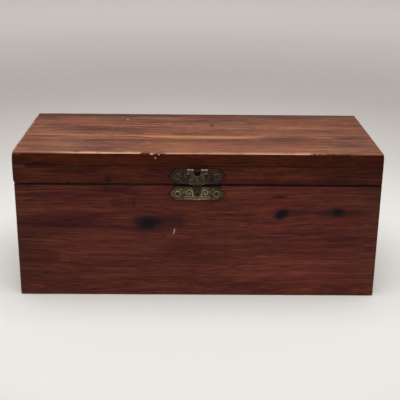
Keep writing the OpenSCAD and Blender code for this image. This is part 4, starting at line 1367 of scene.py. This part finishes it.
# the strike's stud is painted dark as shade under the hasp's tongue
m_strike = aged_brass("aged_brass_strike", on_plate, (0.46, 0.35, 0.22), (0.058, 0.043, 0.020), 0.5, 1.0, 0.46, 0.66, knuckle_highlight_stud_shade=(1.0, (0.06, 0.045, 0.03), 0.5), shade_and_tone=strike_shade_and_dulling)
m_clasp = aged_brass("aged_brass_clasp", on_plate, (0.18, 0.125, 0.085), (0.023, 0.0125, 0.008), 0.42, 2.0, 0.48, 0.68, knuckle_highlight_stud_shade=(0.98, (0.085, 0.07, 0.06), 0.22))
m_hasp = aged_brass("aged_brass_hasp", on_hasp, (0.22, 0.165, 0.10), (0.042, 0.028, 0.014), 0.42, 3.0, 0.50, 0.70, knuckle_highlight_stud_shade=(0.74, (0.085, 0.07, 0.06), 0.22), shade_and_tone=hasp_shade_and_brown_tongue)
m_clasp_nail = aged_brass("aged_brass_nail", None, (0.085, 0.065, 0.045), (0.02, 0.015, 0.01), 0.3, 4.0)
m_clasp_pin = aged_brass("aged_brass_pin", None, (0.03, 0.024, 0.018), (0.012, 0.009, 0.007), 0.3, 7.0)
m_hinge = aged_brass("aged_brass_hinge", on_hinge, (0.50, 0.38, 0.20), (0.15, 0.11, 0.055), 0.5, 5.0, 0.5, 1.6)
m_hinge_nail = aged_brass("aged_brass_hinge_nail", None, (0.48, 0.37, 0.20), (0.12, 0.09, 0.05), 0.5, 6.0)

clasp_and_hinges()


# ------------------------------------------------------------------ stage and light
def stage():
    """A round pale floor that sweeps up into a wall all the way round, so that every side has the same ground"""
    flat, radius, top = 1050.0, 420.0, 1100.0
    prof = [(r, 0.0) for r in (0.0, 60.0, 140.0, 250.0, 420.0, 640.0, 860.0, flat)]
    prof += [(flat + radius * math.sin(math.pi / 2 * i / 24), radius * (1 - math.cos(math.pi / 2 * i / 24))) for i in range(1, 25)]
    prof += [(flat + radius, v) for v in (600.0, 850.0, top)]
    n = 96
    verts, faces = [(0.0, 0.0, 0.0)], []
    for r, z in prof[1:]:
        verts += [(r * math.cos(2 * math.pi * i / n), r * math.sin(2 * math.pi * i / n), z) for i in range(n)]
    faces += [(0, 1 + i, 1 + (i + 1) % n) for i in range(n)]
    for k in range(len(prof) - 2):
        a = 1 + k * n
        faces += [(a + i, a + n + i, a + n + (i + 1) % n, a + (i + 1) % n) for i in range(n)]
    me = bpy.data.meshes.new("paper_sweep")
    me.from_pydata([(v[0] / 1000, v[1] / 1000, v[2] / 1000) for v in verts], [], faces)
    me.shade_smooth()
    obj = bpy.data.objects.new("paper_sweep", me)
    scene.collection.objects.link(obj)
    g = Graph("pale_paper")
    r = g.math("DIVIDE", g.sqrt(g.x * g.x + g.y * g.y), 1250.0, clamp=True)
    # painted light: the paper's colour goes by the distance from the object
    g.put(g.bsdf.inputs["Base Color"], g.ramp(r, [(p / 1250.0, srgb(*c)) for p, c in PAPER_PAINTED_LIGHT]))
    g.bsdf.inputs["Roughness"].default_value = 0.85
    g.bsdf.inputs["Specular IOR Level"].default_value = 0.2
    me.materials.append(g.mat)


# pale paper with painted light: brightest round the object and a little darker further off, as under a pool of light
PAPER_PAINTED_LIGHT = [(0, (235, 234, 231)), (170, (235, 234, 231)), (300, (206, 203, 200)), (430, (188, 184, 181)), (520, (177, 171, 168)), (640, (174, 167, 163)), (960, (184, 179, 176)), (1180, (201, 196, 193))]


def sun(name, direction, strength, angle, colour=(1, 1, 1)):
    """A light far off that shines along `direction` from a disc `angle` degrees across"""
    d = bpy.data.lights.new(name, "SUN")
    d.energy, d.angle, d.color = strength, math.radians(angle), colour
    o = bpy.data.objects.new(name, d)
    o.location = (-direction[0], -direction[1], -direction[2])
    o.rotation_mode = "QUATERNION"
    o.rotation_quaternion = Vector(direction).to_track_quat("-Z", "Y")
    scene.collection.objects.link(o)
    return o


stage()
world = bpy.data.worlds.new("room")
world.use_nodes = True
world.node_tree.nodes["Background"].inputs[0].default_value = (1.0, 0.992, 0.975, 1.0)
world.node_tree.nodes["Background"].inputs[1].default_value = 0.12
scene.world = world
sun("overhead", (0.0, 0.19, -1.0), 2.80, 76.0, (1.0, 0.992, 0.975))
scene.view_settings.view_transform = "Standard"
